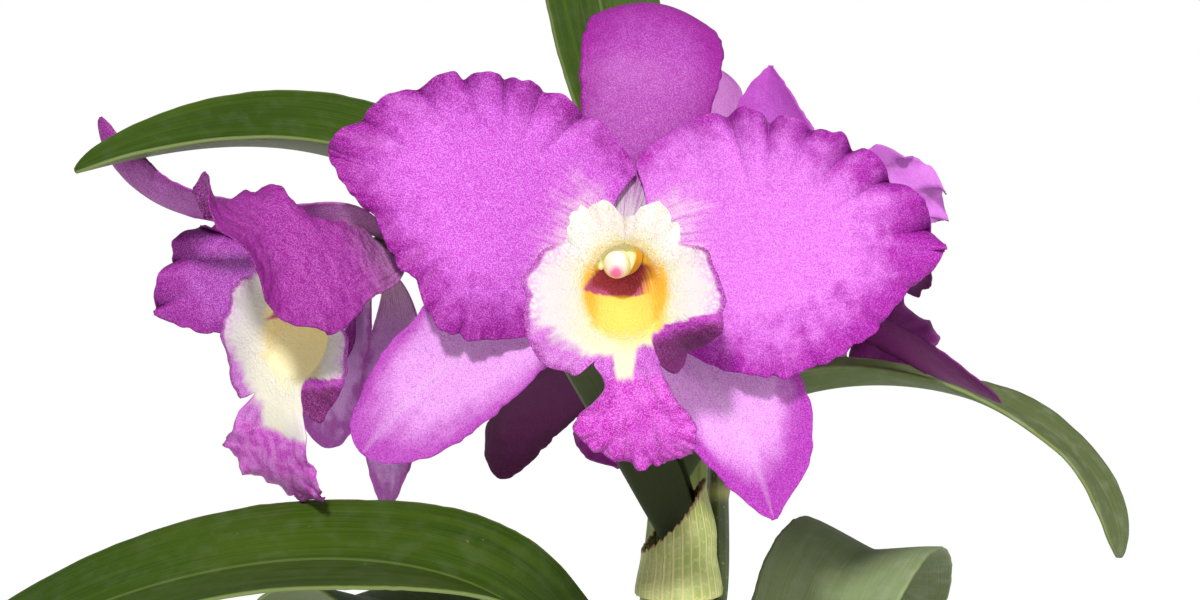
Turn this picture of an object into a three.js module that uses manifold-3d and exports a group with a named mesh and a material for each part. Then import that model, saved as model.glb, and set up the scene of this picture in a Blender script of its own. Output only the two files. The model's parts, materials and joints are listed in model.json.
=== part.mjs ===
// A potted cattleya orchid in bloom: a clay pot of bark, a creeping rhizome with its roots, seven
// pseudobulbs with a leaf each, and a flower stalk that carries four blooms.
// Millimetres, +Z up, +X to the right and +Y away from someone who looks at the front bloom.
// The origin is the middle of the pot's underside.

import * as THREE from "three";
import { mergeVertices } from "three/addons/utils/BufferGeometryUtils.js";
import Module from "manifold-3d";

const wasm = await Module();
wasm.setup();

const { degToRad, smoothstep, lerp } = THREE.MathUtils;
const at = (x, y, z) => new THREE.Vector3(x, y, z);
const UP = at(0, 0, 1);

// Driving dimensions
const GAP = 0.3; // between a piece and what it rests on
const POT = { height: 112, rimRadius: 68, footRadius: 47, wall: 5, floor: 7, band: 24, bandOut: 3.5 };
const DRAIN = { count: 4, radius: 5, ring: 26 };
const BARK = { level: 96, chips: 26, chip: [16, 10, 5], seed: 7 };
const RHIZOME = { radius: 4.2, height: 101 };
const ROOT = { radius: 1.9 };
const LEAF = { thickness: 1.7, crease: 1.2 };
const TEPAL = { thickness: 0.8 };
const RECEPTACLE = { radius: 4.3, front: 1.8, back: -4 };
const STALK = { radius: 2.2 };
const PEDICEL = { radius: 1.9 };

const SEPAL = { length: 60, halfWidth: 12.5, claw: 0.2, peak: 0.6, rise: 0.8, fall: 2.4, round: 0.55 };
const PETAL = { length: 60, halfWidth: 26.5, claw: 0.1, peak: 0.42, rise: 0.32, fall: 2, round: 0.72 };
const LIP = {
  footRadius: 4.4,
  footFront: 2.3,
  mouthHalfWidth: 8,
  mouthTop: 3.3,
  mouthBottom: -15,
  mouthFront: 22.5,
  mouthLean: 3.5,
  slit: 177.5,
  flareBend: 2.6,
  tongueShare: 1 / 3,
};
const LIP_STANDARD = {
  lobes: [1, 1],
  curls: [0, 0],
  necks: [4.8, 4.8],
  bladeHalfWidth: 12.3,
  reach: 20,
  drift: 0,
};
const COLUMN = { radius: 2.3, length: 17.5 };

// A random number from 0 to 1, the same on each run.
function seeded(seed) {
  let state = seed >>> 0;
  return () => {
    state = (state + 0x6d2b79f5) >>> 0;
    let t = Math.imul(state ^ (state >>> 15), 1 | state);
    t = (t + Math.imul(t ^ (t >>> 7), 61 | t)) ^ t;
    return ((t ^ (t >>> 14)) >>> 0) / 4294967296;
  };
}

// The vector a·p + b·q.
const mixed = (p, a, q, b) => p.clone().multiplyScalar(a).addScaledVector(q, b);

// A smooth value between named stops, each [place, value], in order of place.
function along(stops, x) {
  if (x <= stops[0][0]) return stops[0][1];
  for (let i = 1; i < stops.length; i++) {
    const [from, a] = stops[i - 1];
    const [to, b] = stops[i];
    if (x <= to) return lerp(a, b, smoothstep(x, from, to));
  }
  return stops[stops.length - 1][1];
}

// Sheets

// The closed geometry of a thin sheet: points and triangles of its middle surface, grown both ways
// along its normals by half of thickness. Both faces are split into the same triangles.
function thicken(points, triangles, thickness) {
  const normals = points.map(() => at(0, 0, 0));
  const [ab, ac] = [at(0, 0, 0), at(0, 0, 0)];
  for (const [a, b, c] of triangles) {
    ab.subVectors(points[b], points[a]);
    ac.subVectors(points[c], points[a]);
    ab.cross(ac);
    for (const i of [a, b, c]) normals[i].add(ab);
  }
  normals.forEach((n) => n.normalize());
  const count = points.length;
  const position = [];
  for (const side of [1, -1])
    points.forEach((p, i) => {
      const q = p.clone().addScaledVector(normals[i], (side * thickness) / 2);
      position.push(q.x, q.y, q.z);
    });
  const index = [];
  const edges = new Map();
  for (const [a, b, c] of triangles) {
    index.push(a, b, c, a + count, c + count, b + count);
    for (const [p, q] of [[a, b], [b, c], [c, a]]) {
      if (edges.has(`${q},${p}`)) edges.delete(`${q},${p}`);
      else edges.set(`${p},${q}`, [p, q]);
    }
  }
  for (const [p, q] of edges.values()) index.push(q, p, p + count, q, p + count, q + count);
  return new THREE.BufferGeometry()
    .setAttribute("position", new THREE.Float32BufferAttribute(position, 3))
    .setIndex(index);
}

// The triangles of a grid of rows and columns, each square cut along its shorter diagonal.
function gridTriangles(points, rows, columns) {
  const triangles = [];
  const id = (i, j) => i * (columns + 1) + j;
  for (let i = 0; i < rows; i++)
    for (let j = 0; j < columns; j++) {
      const [a, b, c, d] = [id(i, j), id(i, j + 1), id(i + 1, j + 1), id(i + 1, j)];
      if (points[a].distanceTo(points[c]) <= points[b].distanceTo(points[d]))
        triangles.push([a, b, c], [a, c, d]);
      else triangles.push([a, b, d], [b, c, d]);
    }
  return triangles;
}

// The half-width of a blade at u along it, as a share of its widest: it swells from its claw to
// its peak and then rounds off to a narrow tip.
const TIP_SHARE = 0.07;
function outline(u, { claw, peak, rise, fall, round }) {
  if (u < peak) return claw + (1 - claw) * Math.sin(((Math.PI / 2) * u) / peak) ** rise;
  const past = (u - peak) / (1 - peak);
  return Math.max(TIP_SHARE, (1 - past ** fall) ** round);
}

// A spine is a function from u to { point, across, along, face }.

// The spine of a leaf: a cubic curve, its blade level across and rolled by roll degrees.
function leafSpine({ path, heading, roll }) {
  const curve = new THREE.CubicBezierCurve3(...path.map((p) => at(...p)));
  const side = at(...heading).cross(UP).normalize();
  return (u) => {
    const point = curve.getPoint(u);
    const forward = curve.getTangent(u);
    const across = side.clone().addScaledVector(forward, -side.dot(forward)).normalize();
    across.applyAxisAngle(forward, degToRad(along(roll, u)));
    return { point, across, along: forward, face: across.clone().cross(forward) };
  };
}

// The spine of a tepal in its bloom's frame (x right, y up, z to the front): it leaves the
// receptacle at angle degrees round it, and bend, sway and twist turn it as it goes.
const SPINE_STEPS = 80;
function tepalSpine({ length, angle, layer, start, bend, sway, twist }) {
  const turn = degToRad(angle);
  const out = at(Math.cos(turn), Math.sin(turn), 0);
  const right = at(Math.sin(turn), -Math.cos(turn), 0);
  const front = at(0, 0, 1);
  const frameAt = (u) => {
    const pitch = degToRad(along(bend, u));
    const yaw = degToRad(along(sway, u));
    const roll = degToRad(along(twist, u));
    const level = mixed(out, Math.cos(yaw), right, Math.sin(yaw));
    const forward = mixed(level, Math.cos(pitch), front, Math.sin(pitch));
    const face = mixed(level, -Math.sin(pitch), front, Math.cos(pitch));
    const across = forward.clone().cross(face);
    across.applyAxisAngle(forward, -roll);
    return { across, along: forward, face: across.clone().cross(forward) };
  };
  const points = [out.clone().multiplyScalar(start).addScaledVector(front, layer)];
  for (let i = 0; i < SPINE_STEPS; i++) {
    const step = frameAt((i + 0.5) / SPINE_STEPS).along.multiplyScalar(length / SPINE_STEPS);
    points.push(points[i].clone().add(step));
  }
  return (u) => {
    const place = u * SPINE_STEPS;
    const i = Math.min(SPINE_STEPS - 1, Math.floor(place));
    return { point: points[i].clone().lerp(points[i + 1], place - i), ...frameAt(u) };
  };
}

// The spine of a tepal that bends its own way: a cubic curve from the receptacle by way of a
// point to its tip, with the direction that its face has at each of some places.
function guidedSpine({ angle, layer, start, lead, way, tip, faces }, toBloom) {
  const turn = degToRad(angle);
  const out = at(Math.cos(turn), Math.sin(turn), 0);
  const foot = out.clone().multiplyScalar(start).addScaledVector(at(0, 0, 1), layer);
  const point = (p) => at(...p).applyMatrix4(toBloom);
  const leaving = foot.clone().addScaledVector(out, lead);
  const curve = new THREE.CubicBezierCurve3(foot, leaving, point(way), point(tip));
  const stops = faces.map(([u, direction]) => [u, at(...direction).transformDirection(toBloom)]);
  const faceAt = (axis, u) => along(stops.map(([place, face]) => [place, face[axis]]), u);
  return (u) => {
    const forward = curve.getTangentAt(u);
    const wanted = at(faceAt("x", u), faceAt("y", u), faceAt("z", u));
    const across = forward.clone().cross(wanted).normalize();
    return { point: curve.getPointAt(u), across, along: forward, face: across.clone().cross(forward) };
  };
}

// How far a petal's margin stands out of its plane at (u, v): waves that run out like a fan from
// a point on the midrib, and grow towards the margin.
function wavesAt(u, v, reach, { length, waves }) {
  if (!waves) return 0;
  const angle = Math.atan2(v * reach, (u - 0.38) * length);
  const margin = 1 - (1 - v * v) * (1 - u ** 5);
  const side = v < 0 ? waves.left : waves.right;
  const turn = waves.count * angle;
  const wave = Math.sin(turn + waves.phase) + 0.45 * Math.sin(1.7 * turn + 2);
  return waves.height * side * margin ** 3 * smoothstep(u, 0.08, 0.3) * wave;
}

// A point of a blade at u along it and v across it, from -1 to 1. Where it is swept, its margin
// stands back towards its foot.
function bladePoint(spine, shape, u, v) {
  const { point, across, along: forward, face } = spine(u);
  const reach = shape.halfWidth * outline(u, shape) * along(v < 0 ? shape.left : shape.right, u);
  const cup = degToRad(along(shape.cup, u));
  const fold = degToRad(along(shape.fold, u));
  const t = Math.abs(v) * reach;
  const bent = Math.abs(cup) > 1e-4;
  const wide = bent ? (reach * Math.sin(cup * Math.abs(v))) / cup : t;
  const high = bent ? (reach * (1 - Math.cos(cup * Math.abs(v)))) / cup : 0;
  const creased = Math.sqrt(wide * wide + shape.crease ** 2) - shape.crease;
  const back = along(v < 0 ? shape.sweepLeft : shape.sweepRight, u) * v * v;
  const x = Math.sign(v) * (wide * Math.cos(fold) - high * Math.sin(fold));
  const z = creased * Math.sin(fold) + high * Math.cos(fold) + wavesAt(u, v, reach, shape);
  return point.addScaledVector(across, x).addScaledVector(face, z).addScaledVector(forward, -back);
}

const BLADE = {
  left: [[0, 1]],
  right: [[0, 1]],
  crease: 1,
  cup: [[0, 0]],
  fold: [[0, 0]],
  sweepLeft: [[0, 0]],
  sweepRight: [[0, 0]],
  bend: [[0, 0]],
  sway: [[0, 0]],
  twist: [[0, 0]],
  roll: [[0, 0]],
};

// A blade as a closed solid.
function blade(spine, shape, rows, columns, thickness) {
  const points = [];
  for (let i = 0; i <= rows; i++)
    for (let j = 0; j <= columns; j++) {
      const u = 1 - (1 - i / rows) ** 1.15;
      points.push(bladePoint(spine, shape, u, (2 * j) / columns - 1));
    }
  return thicken(points, gridTriangles(points, rows, columns), thickness);
}

// Stems

// A closed round solid along a curve. It has a ring of points at each of its places, which are
// shares of its length, and its radius is given at each.
const FRAME_STEPS = 60;
const evenly = (steps) => Array.from({ length: steps + 1 }, (_, i) => i / steps);
function stem(curve, radiusAt, places, sides) {
  const steps = places.length - 1;
  const { normals, binormals } = curve.computeFrenetFrames(FRAME_STEPS, false);
  const position = [];
  for (const u of places) {
    const frame = Math.round(u * FRAME_STEPS);
    const radius = radiusAt(u);
    for (let j = 0; j < sides; j++) {
      const turn = (2 * Math.PI * j) / sides;
      const out = mixed(normals[frame], Math.cos(turn), binormals[frame], Math.sin(turn));
      const p = curve.getPointAt(u).addScaledVector(out, radius);
      position.push(p.x, p.y, p.z);
    }
  }
  const [first, last] = [curve.getPointAt(0), curve.getPointAt(1)];
  position.push(first.x, first.y, first.z, last.x, last.y, last.z);
  const index = [];
  const [startCap, endCap] = [(steps + 1) * sides, (steps + 1) * sides + 1];
  for (let j = 0; j < sides; j++) {
    const k = (j + 1) % sides;
    for (let i = 0; i < steps; i++) {
      const [low, high] = [i * sides, (i + 1) * sides];
      index.push(low + j, low + k, high + k, low + j, high + k, high + j);
    }
    index.push(startCap, k, j, endCap, steps * sides + j, steps * sides + k);
  }
  return new THREE.BufferGeometry()
    .setAttribute("position", new THREE.Float32BufferAttribute(position, 3))
    .setIndex(index);
}

const bezier = (...points) => new THREE.CubicBezierCurve3(...points.map((p) => at(...p)));

// Solids

// A closed geometry as a manifold-3d solid.
function solid(geometry) {
  const bare = new THREE.BufferGeometry()
    .setAttribute("position", geometry.getAttribute("position"))
    .setIndex(geometry.index);
  const merged = mergeVertices(bare, 1e-4);
  return new wasm.Manifold(
    new wasm.Mesh({
      numProp: 3,
      vertProperties: merged.getAttribute("position").array,
      triVerts: new Uint32Array(merged.index.array),
    }),
  );
}

// A manifold-3d solid as a geometry.
function geometryOf(made) {
  const { vertProperties, triVerts } = made.getMesh();
  return new THREE.BufferGeometry()
    .setAttribute("position", new THREE.BufferAttribute(vertProperties, 3))
    .setIndex(new THREE.BufferAttribute(triVerts, 1));
}

const fused = (geometries) => geometries.map(solid).reduce((whole, next) => whole.add(next));

// Materials

const material = (colour, roughness) =>
  new THREE.MeshStandardMaterial({ color: colour, roughness, metalness: 0 });
const MATERIALS = {
  clay: material(0xb5653f, 0.85),
  bark: material(0x6b4229, 0.95),
  root: material(0xc9cdb4, 0.7),
  bulb: material(0x7f9a3f, 0.5),
  sheath: material(0xa9b56a, 0.6),
  leaf: material(0x3f7a1e, 0.4),
  stalk: material(0x6f7d33, 0.45),
  pedicel: material(0x4a2016, 0.45),
  sepal: material(0xd58fe6, 0.55),
  petal: material(0xc24fd0, 0.55),
  lip: material(0xf3e9b8, 0.55),
  column: material(0xf6f0e4, 0.5),
};

const root = new THREE.Group();

function add(parent, name, geometry, finish) {
  const mesh = new THREE.Mesh(geometry, MATERIALS[finish]);
  mesh.name = name;
  parent.add(mesh);
  return mesh;
}

// Pot

function potGeometry() {
  const { height, rimRadius, footRadius, wall, floor, band, bandOut } = POT;
  const bodyTop = rimRadius - bandOut;
  const profile = [
    [0, 0],
    [footRadius - 2, 0],
    [footRadius, 2],
    [bodyTop - 1.5, height - band - 1],
    [rimRadius - 0.8, height - band + 1.5],
    [rimRadius, height - 2],
    [rimRadius - 2, height],
    [rimRadius - wall - 1, height],
    [rimRadius - wall - 2, height - 2],
    [footRadius - wall, floor],
    [0, floor],
  ];
  const shell = new THREE.LatheGeometry(
    profile.map(([r, z]) => new THREE.Vector2(r, z)),
    32,
  ).rotateX(Math.PI / 2);
  let pot = solid(shell);
  for (let i = 0; i < DRAIN.count; i++) {
    const turn = (2 * Math.PI * (i + 0.5)) / DRAIN.count;
    const hole = new THREE.CylinderGeometry(DRAIN.radius, DRAIN.radius, 3 * floor, 12)
      .rotateX(Math.PI / 2)
      .translate(DRAIN.ring * Math.cos(turn), DRAIN.ring * Math.sin(turn), floor / 2);
    pot = pot.subtract(solid(hole));
  }
  return geometryOf(pot);
}

// The radius of the pot's inside at a height.
function potInside(z) {
  const { height, rimRadius, footRadius, wall, floor } = POT;
  return lerp(footRadius - wall, rimRadius - wall - 2, (z - floor) / (height - 2 - floor));
}

// Pseudobulbs and leaves, from the front of the plant to its back. foot and top are where the
// pseudobulb starts and ends, lean is how its middle bows, and girth is its widest radius. sink
// lowers its foot where the rhizome rounds off.
const SHOOTS = [
  {
    name: "central",
    foot: [4, -3],
    top: [8.5, 0, 220],
    lean: [7, 1],
    girth: 8.6,
    neck: 6.6,
    leaf: {
      path: [[6, 0, 220.6], [-22.9, 16, 266], [-40.4, 30, 320.5], [-115.4, -3, 298.9]],
      heading: [-1, 0.05, 0],
      halfWidth: 18,
      roll: [[0, 0], [0.35, -8], [1, -16]],
      fold: [[0, 74], [0.2, 66], [0.42, 36], [1, 24]],
    },
  },
  {
    name: "behind",
    foot: [7, 14],
    top: [8, 24, 226],
    lean: [9, 22],
    girth: 7.5,
    neck: 5.5,
    leaf: {
      path: [[9, 24, 226.6], [22.9, 34, 264], [103, 31, 254.5], [103.8, 20, 213]],
      heading: [1, -0.1, 0],
      halfWidth: 13,
      roll: [[0, 0], [0.5, -5], [0.75, 8], [1, 26]],
      fold: [[0, 68], [0.25, 30], [0.6, 8], [1, 4]],
    },
  },
  {
    name: "tall",
    foot: [2, 42],
    top: [12, 74, 246],
    lean: [9, 60],
    girth: 7.5,
    neck: 5.5,
    sink: 1.2,
    leaf: {
      path: [[12, 74, 247.1], [-5, 72, 290], [-13, 80, 372], [-28, 118, 420]],
      heading: [-0.35, 1, 0],
      halfWidth: 14,
      roll: [[0, 0], [1, 0]],
      fold: [[0, 64], [0.2, 46], [0.5, 14], [1, 8]],
    },
  },
  {
    name: "left",
    foot: [-15, -16],
    top: [-13, -26, 180],
    lean: [-17, -22],
    girth: 8.5,
    neck: 5.5,
    sink: 0.7,
    leaf: {
      path: [[-13, -26, 181.3], [-3, -29.5, 237], [-107, -26, 238], [-163, -32, 177]],
      heading: [-1, 0, 0],
      halfWidth: 19,
      roll: [[0, 0], [0.4, -16], [1, -16]],
      fold: [[0, 66], [0.22, 30], [0.5, 14], [1, 8]],
    },
  },
  {
    name: "right",
    foot: [24, 20],
    top: [33, 34, 152],
    lean: [30, 26],
    girth: 8.5,
    neck: 5.5,
    sink: 0.8,
    leaf: {
      path: [[33, 34, 152.6], [37, 36, 208], [60, 58, 229], [66, 122, 166]],
      heading: [0.4, 1, 0],
      halfWidth: 17.5,
      roll: [[0, 8], [1, 8]],
      fold: [[0, 62], [0.2, 30], [0.5, 18], [1, 10]],
    },
  },
  {
    name: "rear",
    foot: [-20, 24],
    top: [-33, 40, 150],
    lean: [-28, 31],
    girth: 8,
    neck: 5.5,
    leaf: {
      path: [[-33, 40, 150.6], [-38, 44, 196], [-72, 84, 214], [-96, 126, 146]],
      heading: [-0.55, 1, 0],
      halfWidth: 17,
      roll: [[0, 0], [1, 6]],
      fold: [[0, 62], [0.2, 34], [0.5, 16], [1, 10]],
    },
  },
  {
    name: "front",
    foot: [18, -22],
    top: [31, -36, 140],
    lean: [25, -29],
    girth: 7.5,
    neck: 5.2,
    leaf: {
      path: [[31, -36, 140.6], [36, -40, 184], [80, -66, 200], [118, -92, 128]],
      heading: [1, -0.55, 0],
      halfWidth: 16,
      roll: [[0, 0], [1, 8]],
      fold: [[0, 62], [0.2, 34], [0.5, 16], [1, 10]],
    },
  },
];
const LEAF_OUTLINE = { claw: 0.46, peak: 0.45, rise: 0.6, fall: 3, round: 0.55 };

// The axis of a shoot's pseudobulb, which stands on the rhizome.
function bulbAxis({ foot, top, lean, sink }) {
  const base = RHIZOME.height + RHIZOME.radius + GAP - (sink ?? 0);
  const middle = lerp(base, top[2], 0.45);
  const above = [top[0], top[1], lerp(middle, top[2], 0.5)];
  return bezier([...foot, base], [...lean, middle], above, top);
}

// The radius of a pseudobulb: it is slim at its foot, swells, and narrows to the leaf's neck.
const BULB_NODES = [0.24, 0.5, 0.76];
function bulbRadius({ girth, neck }, u) {
  const swell = along([[0, 4.4], [0.55, girth], [0.8, girth], [1, neck]], u);
  const ring = BULB_NODES.reduce((sum, place) => sum + Math.exp(-(((u - place) / 0.02) ** 2)), 0);
  return swell + 0.5 * ring;
}

function addShoots() {
  for (const shoot of SHOOTS) {
    const bulb = stem(bulbAxis(shoot), (u) => bulbRadius(shoot, u), evenly(10), 9);
    add(root, `pseudobulb_${shoot.name}`, bulb, "bulb");
    const shape = { ...BLADE, ...LEAF_OUTLINE, ...shoot.leaf, length: 1, crease: LEAF.crease };
    const leaf = blade(leafSpine(shoot.leaf), shape, 13, 4, LEAF.thickness);
    add(root, `leaf_${shoot.name}`, leaf, "leaf");
  }
}

// The green sheath that clasps the top of the central pseudobulb and the foot of its leaf. Its
// mouth is oblique: low on the left, and drawn up into a tongue on the right.
const SHEATH = { from: 210, low: 219, high: 234, foot: 9, mouth: 7.7, taper: 0.3, wall: 0.7 };
function sheathGeometry() {
  const [rows, columns] = [5, 14];
  const points = [];
  const [cx, cy] = [SHOOTS[0].top[0], SHOOTS[0].top[1]];
  for (let i = 0; i <= rows; i++)
    for (let j = 0; j < columns; j++) {
      const turn = (2 * Math.PI * j) / columns;
      const rise = (1 + Math.cos(turn)) / 2;
      const top = lerp(SHEATH.low, SHEATH.high, rise);
      const z = lerp(SHEATH.from, top, i / rows);
      const radius = lerp(SHEATH.foot, SHEATH.mouth, smoothstep(z, SHEATH.from, SHEATH.low));
      const reach = radius * (1 - SHEATH.taper * smoothstep(z, SHEATH.low + 3, SHEATH.high));
      points.push(at(cx + reach * Math.cos(turn), cy + reach * Math.sin(turn), z));
    }
  const triangles = [];
  for (let i = 0; i < rows; i++)
    for (let j = 0; j < columns; j++) {
      const k = (j + 1) % columns;
      const [low, high] = [i * columns, (i + 1) * columns];
      triangles.push([low + j, low + k, high + k], [low + j, high + k, high + j]);
    }
  return thicken(points, triangles, SHEATH.wall);
}

// Rhizome and roots

const ROOTS = [
  { from: [4, -3], to: [-8, -54], dip: 4 },
  { from: [18, -22], to: [42, -34], dip: 3 },
  { from: [24, 20], to: [54, 8], dip: 4 },
  { from: [7, 14], to: [34, 42], dip: 4 },
  { from: [-20, 24], to: [-53, 12], dip: 4 },
  { from: [2, 42], to: [-30, 46], dip: 3 },
  { from: [-15, -16], to: [-48, -28], dip: 5 },
];

// The rhizome is a chain from foot to foot of the pseudobulbs, and the roots run out of it.
const CHAIN = [
  ["front", "central"],
  ["left", "central"],
  ["central", "behind"],
  ["behind", "tall"],
  ["behind", "right"],
  ["tall", "rear"],
];
function rhizomeStems(extra) {
  const foot = Object.fromEntries(SHOOTS.map((s) => [s.name, s.foot]));
  const z = RHIZOME.height;
  const stems = [];
  const reach = (radius) => (u) => radius * Math.sqrt(Math.max(0.2, 1 - (2 * u - 1) ** 6)) + extra;
  for (const [a, b] of CHAIN) {
    const [p, q] = [at(...foot[a], z), at(...foot[b], z)];
    const over = q.clone().sub(p).setLength(RHIZOME.radius * 0.9 + extra);
    const line = new THREE.LineCurve3(p.clone().sub(over), q.clone().add(over));
    stems.push(stem(line, reach(RHIZOME.radius), evenly(4), 7));
  }
  for (const { from, to, dip } of ROOTS) {
    const out = at(to[0] - from[0], to[1] - from[1], 0);
    const side = out.clone().cross(UP).multiplyScalar(0.12);
    const tip = out.clone().setLength(extra);
    const curve = bezier(
      [...from, z - 1],
      [from[0] + 0.35 * out.x + side.x, from[1] + 0.35 * out.y + side.y, z + 1],
      [from[0] + 0.7 * out.x - side.x, from[1] + 0.7 * out.y - side.y, z - 1],
      [to[0] + tip.x, to[1] + tip.y, z - dip],
    );
    stems.push(stem(curve, (u) => ROOT.radius * (1 - 0.35 * u ** 4) + extra, evenly(7), 5));
  }
  return stems;
}

// Bark

// The bark fills the pot, and its chips stand out of it. It has plain grooves where the rhizome
// and the roots lie.
function barkGeometry() {
  const random = seeded(BARK.seed);
  const clear = POT.floor + GAP;
  const profile = [
    [0, clear],
    [potInside(clear) - 2 * GAP, clear],
    [potInside(BARK.level) - 2 * GAP, BARK.level],
    [0, BARK.level],
  ];
  const filling = new THREE.LatheGeometry(
    profile.map(([r, z]) => new THREE.Vector2(r, z)),
    24,
  ).rotateX(Math.PI / 2);
  const chips = [];
  for (let i = 0; i < BARK.chips; i++) {
    const share = Math.sqrt((i + 0.5) / BARK.chips);
    const turn = i * 2.39996;
    const size = BARK.chip.map((side) => side * (0.75 + 0.5 * random()));
    const reach = share * (potInside(BARK.level) - 0.62 * Math.hypot(size[0], size[1]));
    const chip = new THREE.BoxGeometry(...size)
      .rotateX((random() - 0.5) * 0.5)
      .rotateY((random() - 0.5) * 0.5)
      .rotateZ(random() * Math.PI)
      .translate(reach * Math.cos(turn), reach * Math.sin(turn), BARK.level + 1.2 * random());
    chips.push(chip);
  }
  const grooves = fused(rhizomeStems(GAP + 0.15));
  return geometryOf(fused([filling, ...chips]).subtract(grooves));
}

// Flower stalk

// The stalk springs from the side of the central pseudobulb, just under the sheath, and rises
// behind it, slightly bowed. It has one joint, which shows as a ring.
const STALK_POINTS = [
  [15.5, 7.6, 200],
  [17, 9.6, 208],
  [17, 8.4, 230],
  [16, 9, 250],
  [11, 12, 268],
  [8, 13, 281],
];
const STALK_PATH = new THREE.CatmullRomCurve3(STALK_POINTS.map((p) => at(...p)));
const STALK_JOINT = 0.37;
function stalkRadius(u) {
  const ring = Math.exp(-(((u - STALK_JOINT) / 0.03) ** 2));
  return STALK.radius * (u > 0.96 ? 0.8 : 1) + 0.35 * ring;
}

// Blooms

const TEPALS = {
  dorsal_sepal: {
    ...BLADE,
    ...SEPAL,
    angle: 90,
    layer: -2,
    length: 60,
    halfWidth: 14,
    peak: 0.68,
    bend: [[0, 2], [0.45, -6], [0.75, -45], [1, -92]],
    cup: [[0, 10], [0.5, -14], [1, -30]],
  },
  left_sepal: {
    ...BLADE,
    ...SEPAL,
    angle: 230,
    layer: -2,
    bend: [[0, 0], [1, -12]],
    sway: [[0.3, 0], [1, -20]],
    cup: [[0, 12], [1, 10]],
  },
  right_sepal: {
    ...BLADE,
    ...SEPAL,
    angle: 310,
    layer: -2,
    bend: [[0, 0], [1, -12]],
    sway: [[0.3, 0], [1, 16]],
    cup: [[0, 12], [1, 10]],
  },
  left_petal: {
    ...BLADE,
    ...PETAL,
    angle: 171,
    layer: 0.3,
    left: [[0.4, 1], [0.6, 0.72], [0.8, 0.5], [1, 0.5]],
    bend: [[0, 8], [0.5, 4], [1, -14]],
    cup: [[0, 0], [0.5, 8], [1, -16]],
    waves: { count: 13, height: 1.5, phase: 0.4, left: 0.45, right: 1 },
  },
  right_petal: {
    ...BLADE,
    ...PETAL,
    angle: 9,
    layer: 0.3,
    bend: [[0, 8], [0.5, 4], [1, -14]],
    cup: [[0, 0], [0.5, 8], [1, -16]],
    waves: { count: 13, height: 1.5, phase: 1.4, left: 1, right: 0.45 },
  },
};

// How far the foot of a petal stands back in a round lobe beside the dorsal sepal.
const BASE_LOBE = [[0, 0], [0.05, 4.5], [0.2, 2.5], [0.4, 0]];

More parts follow.
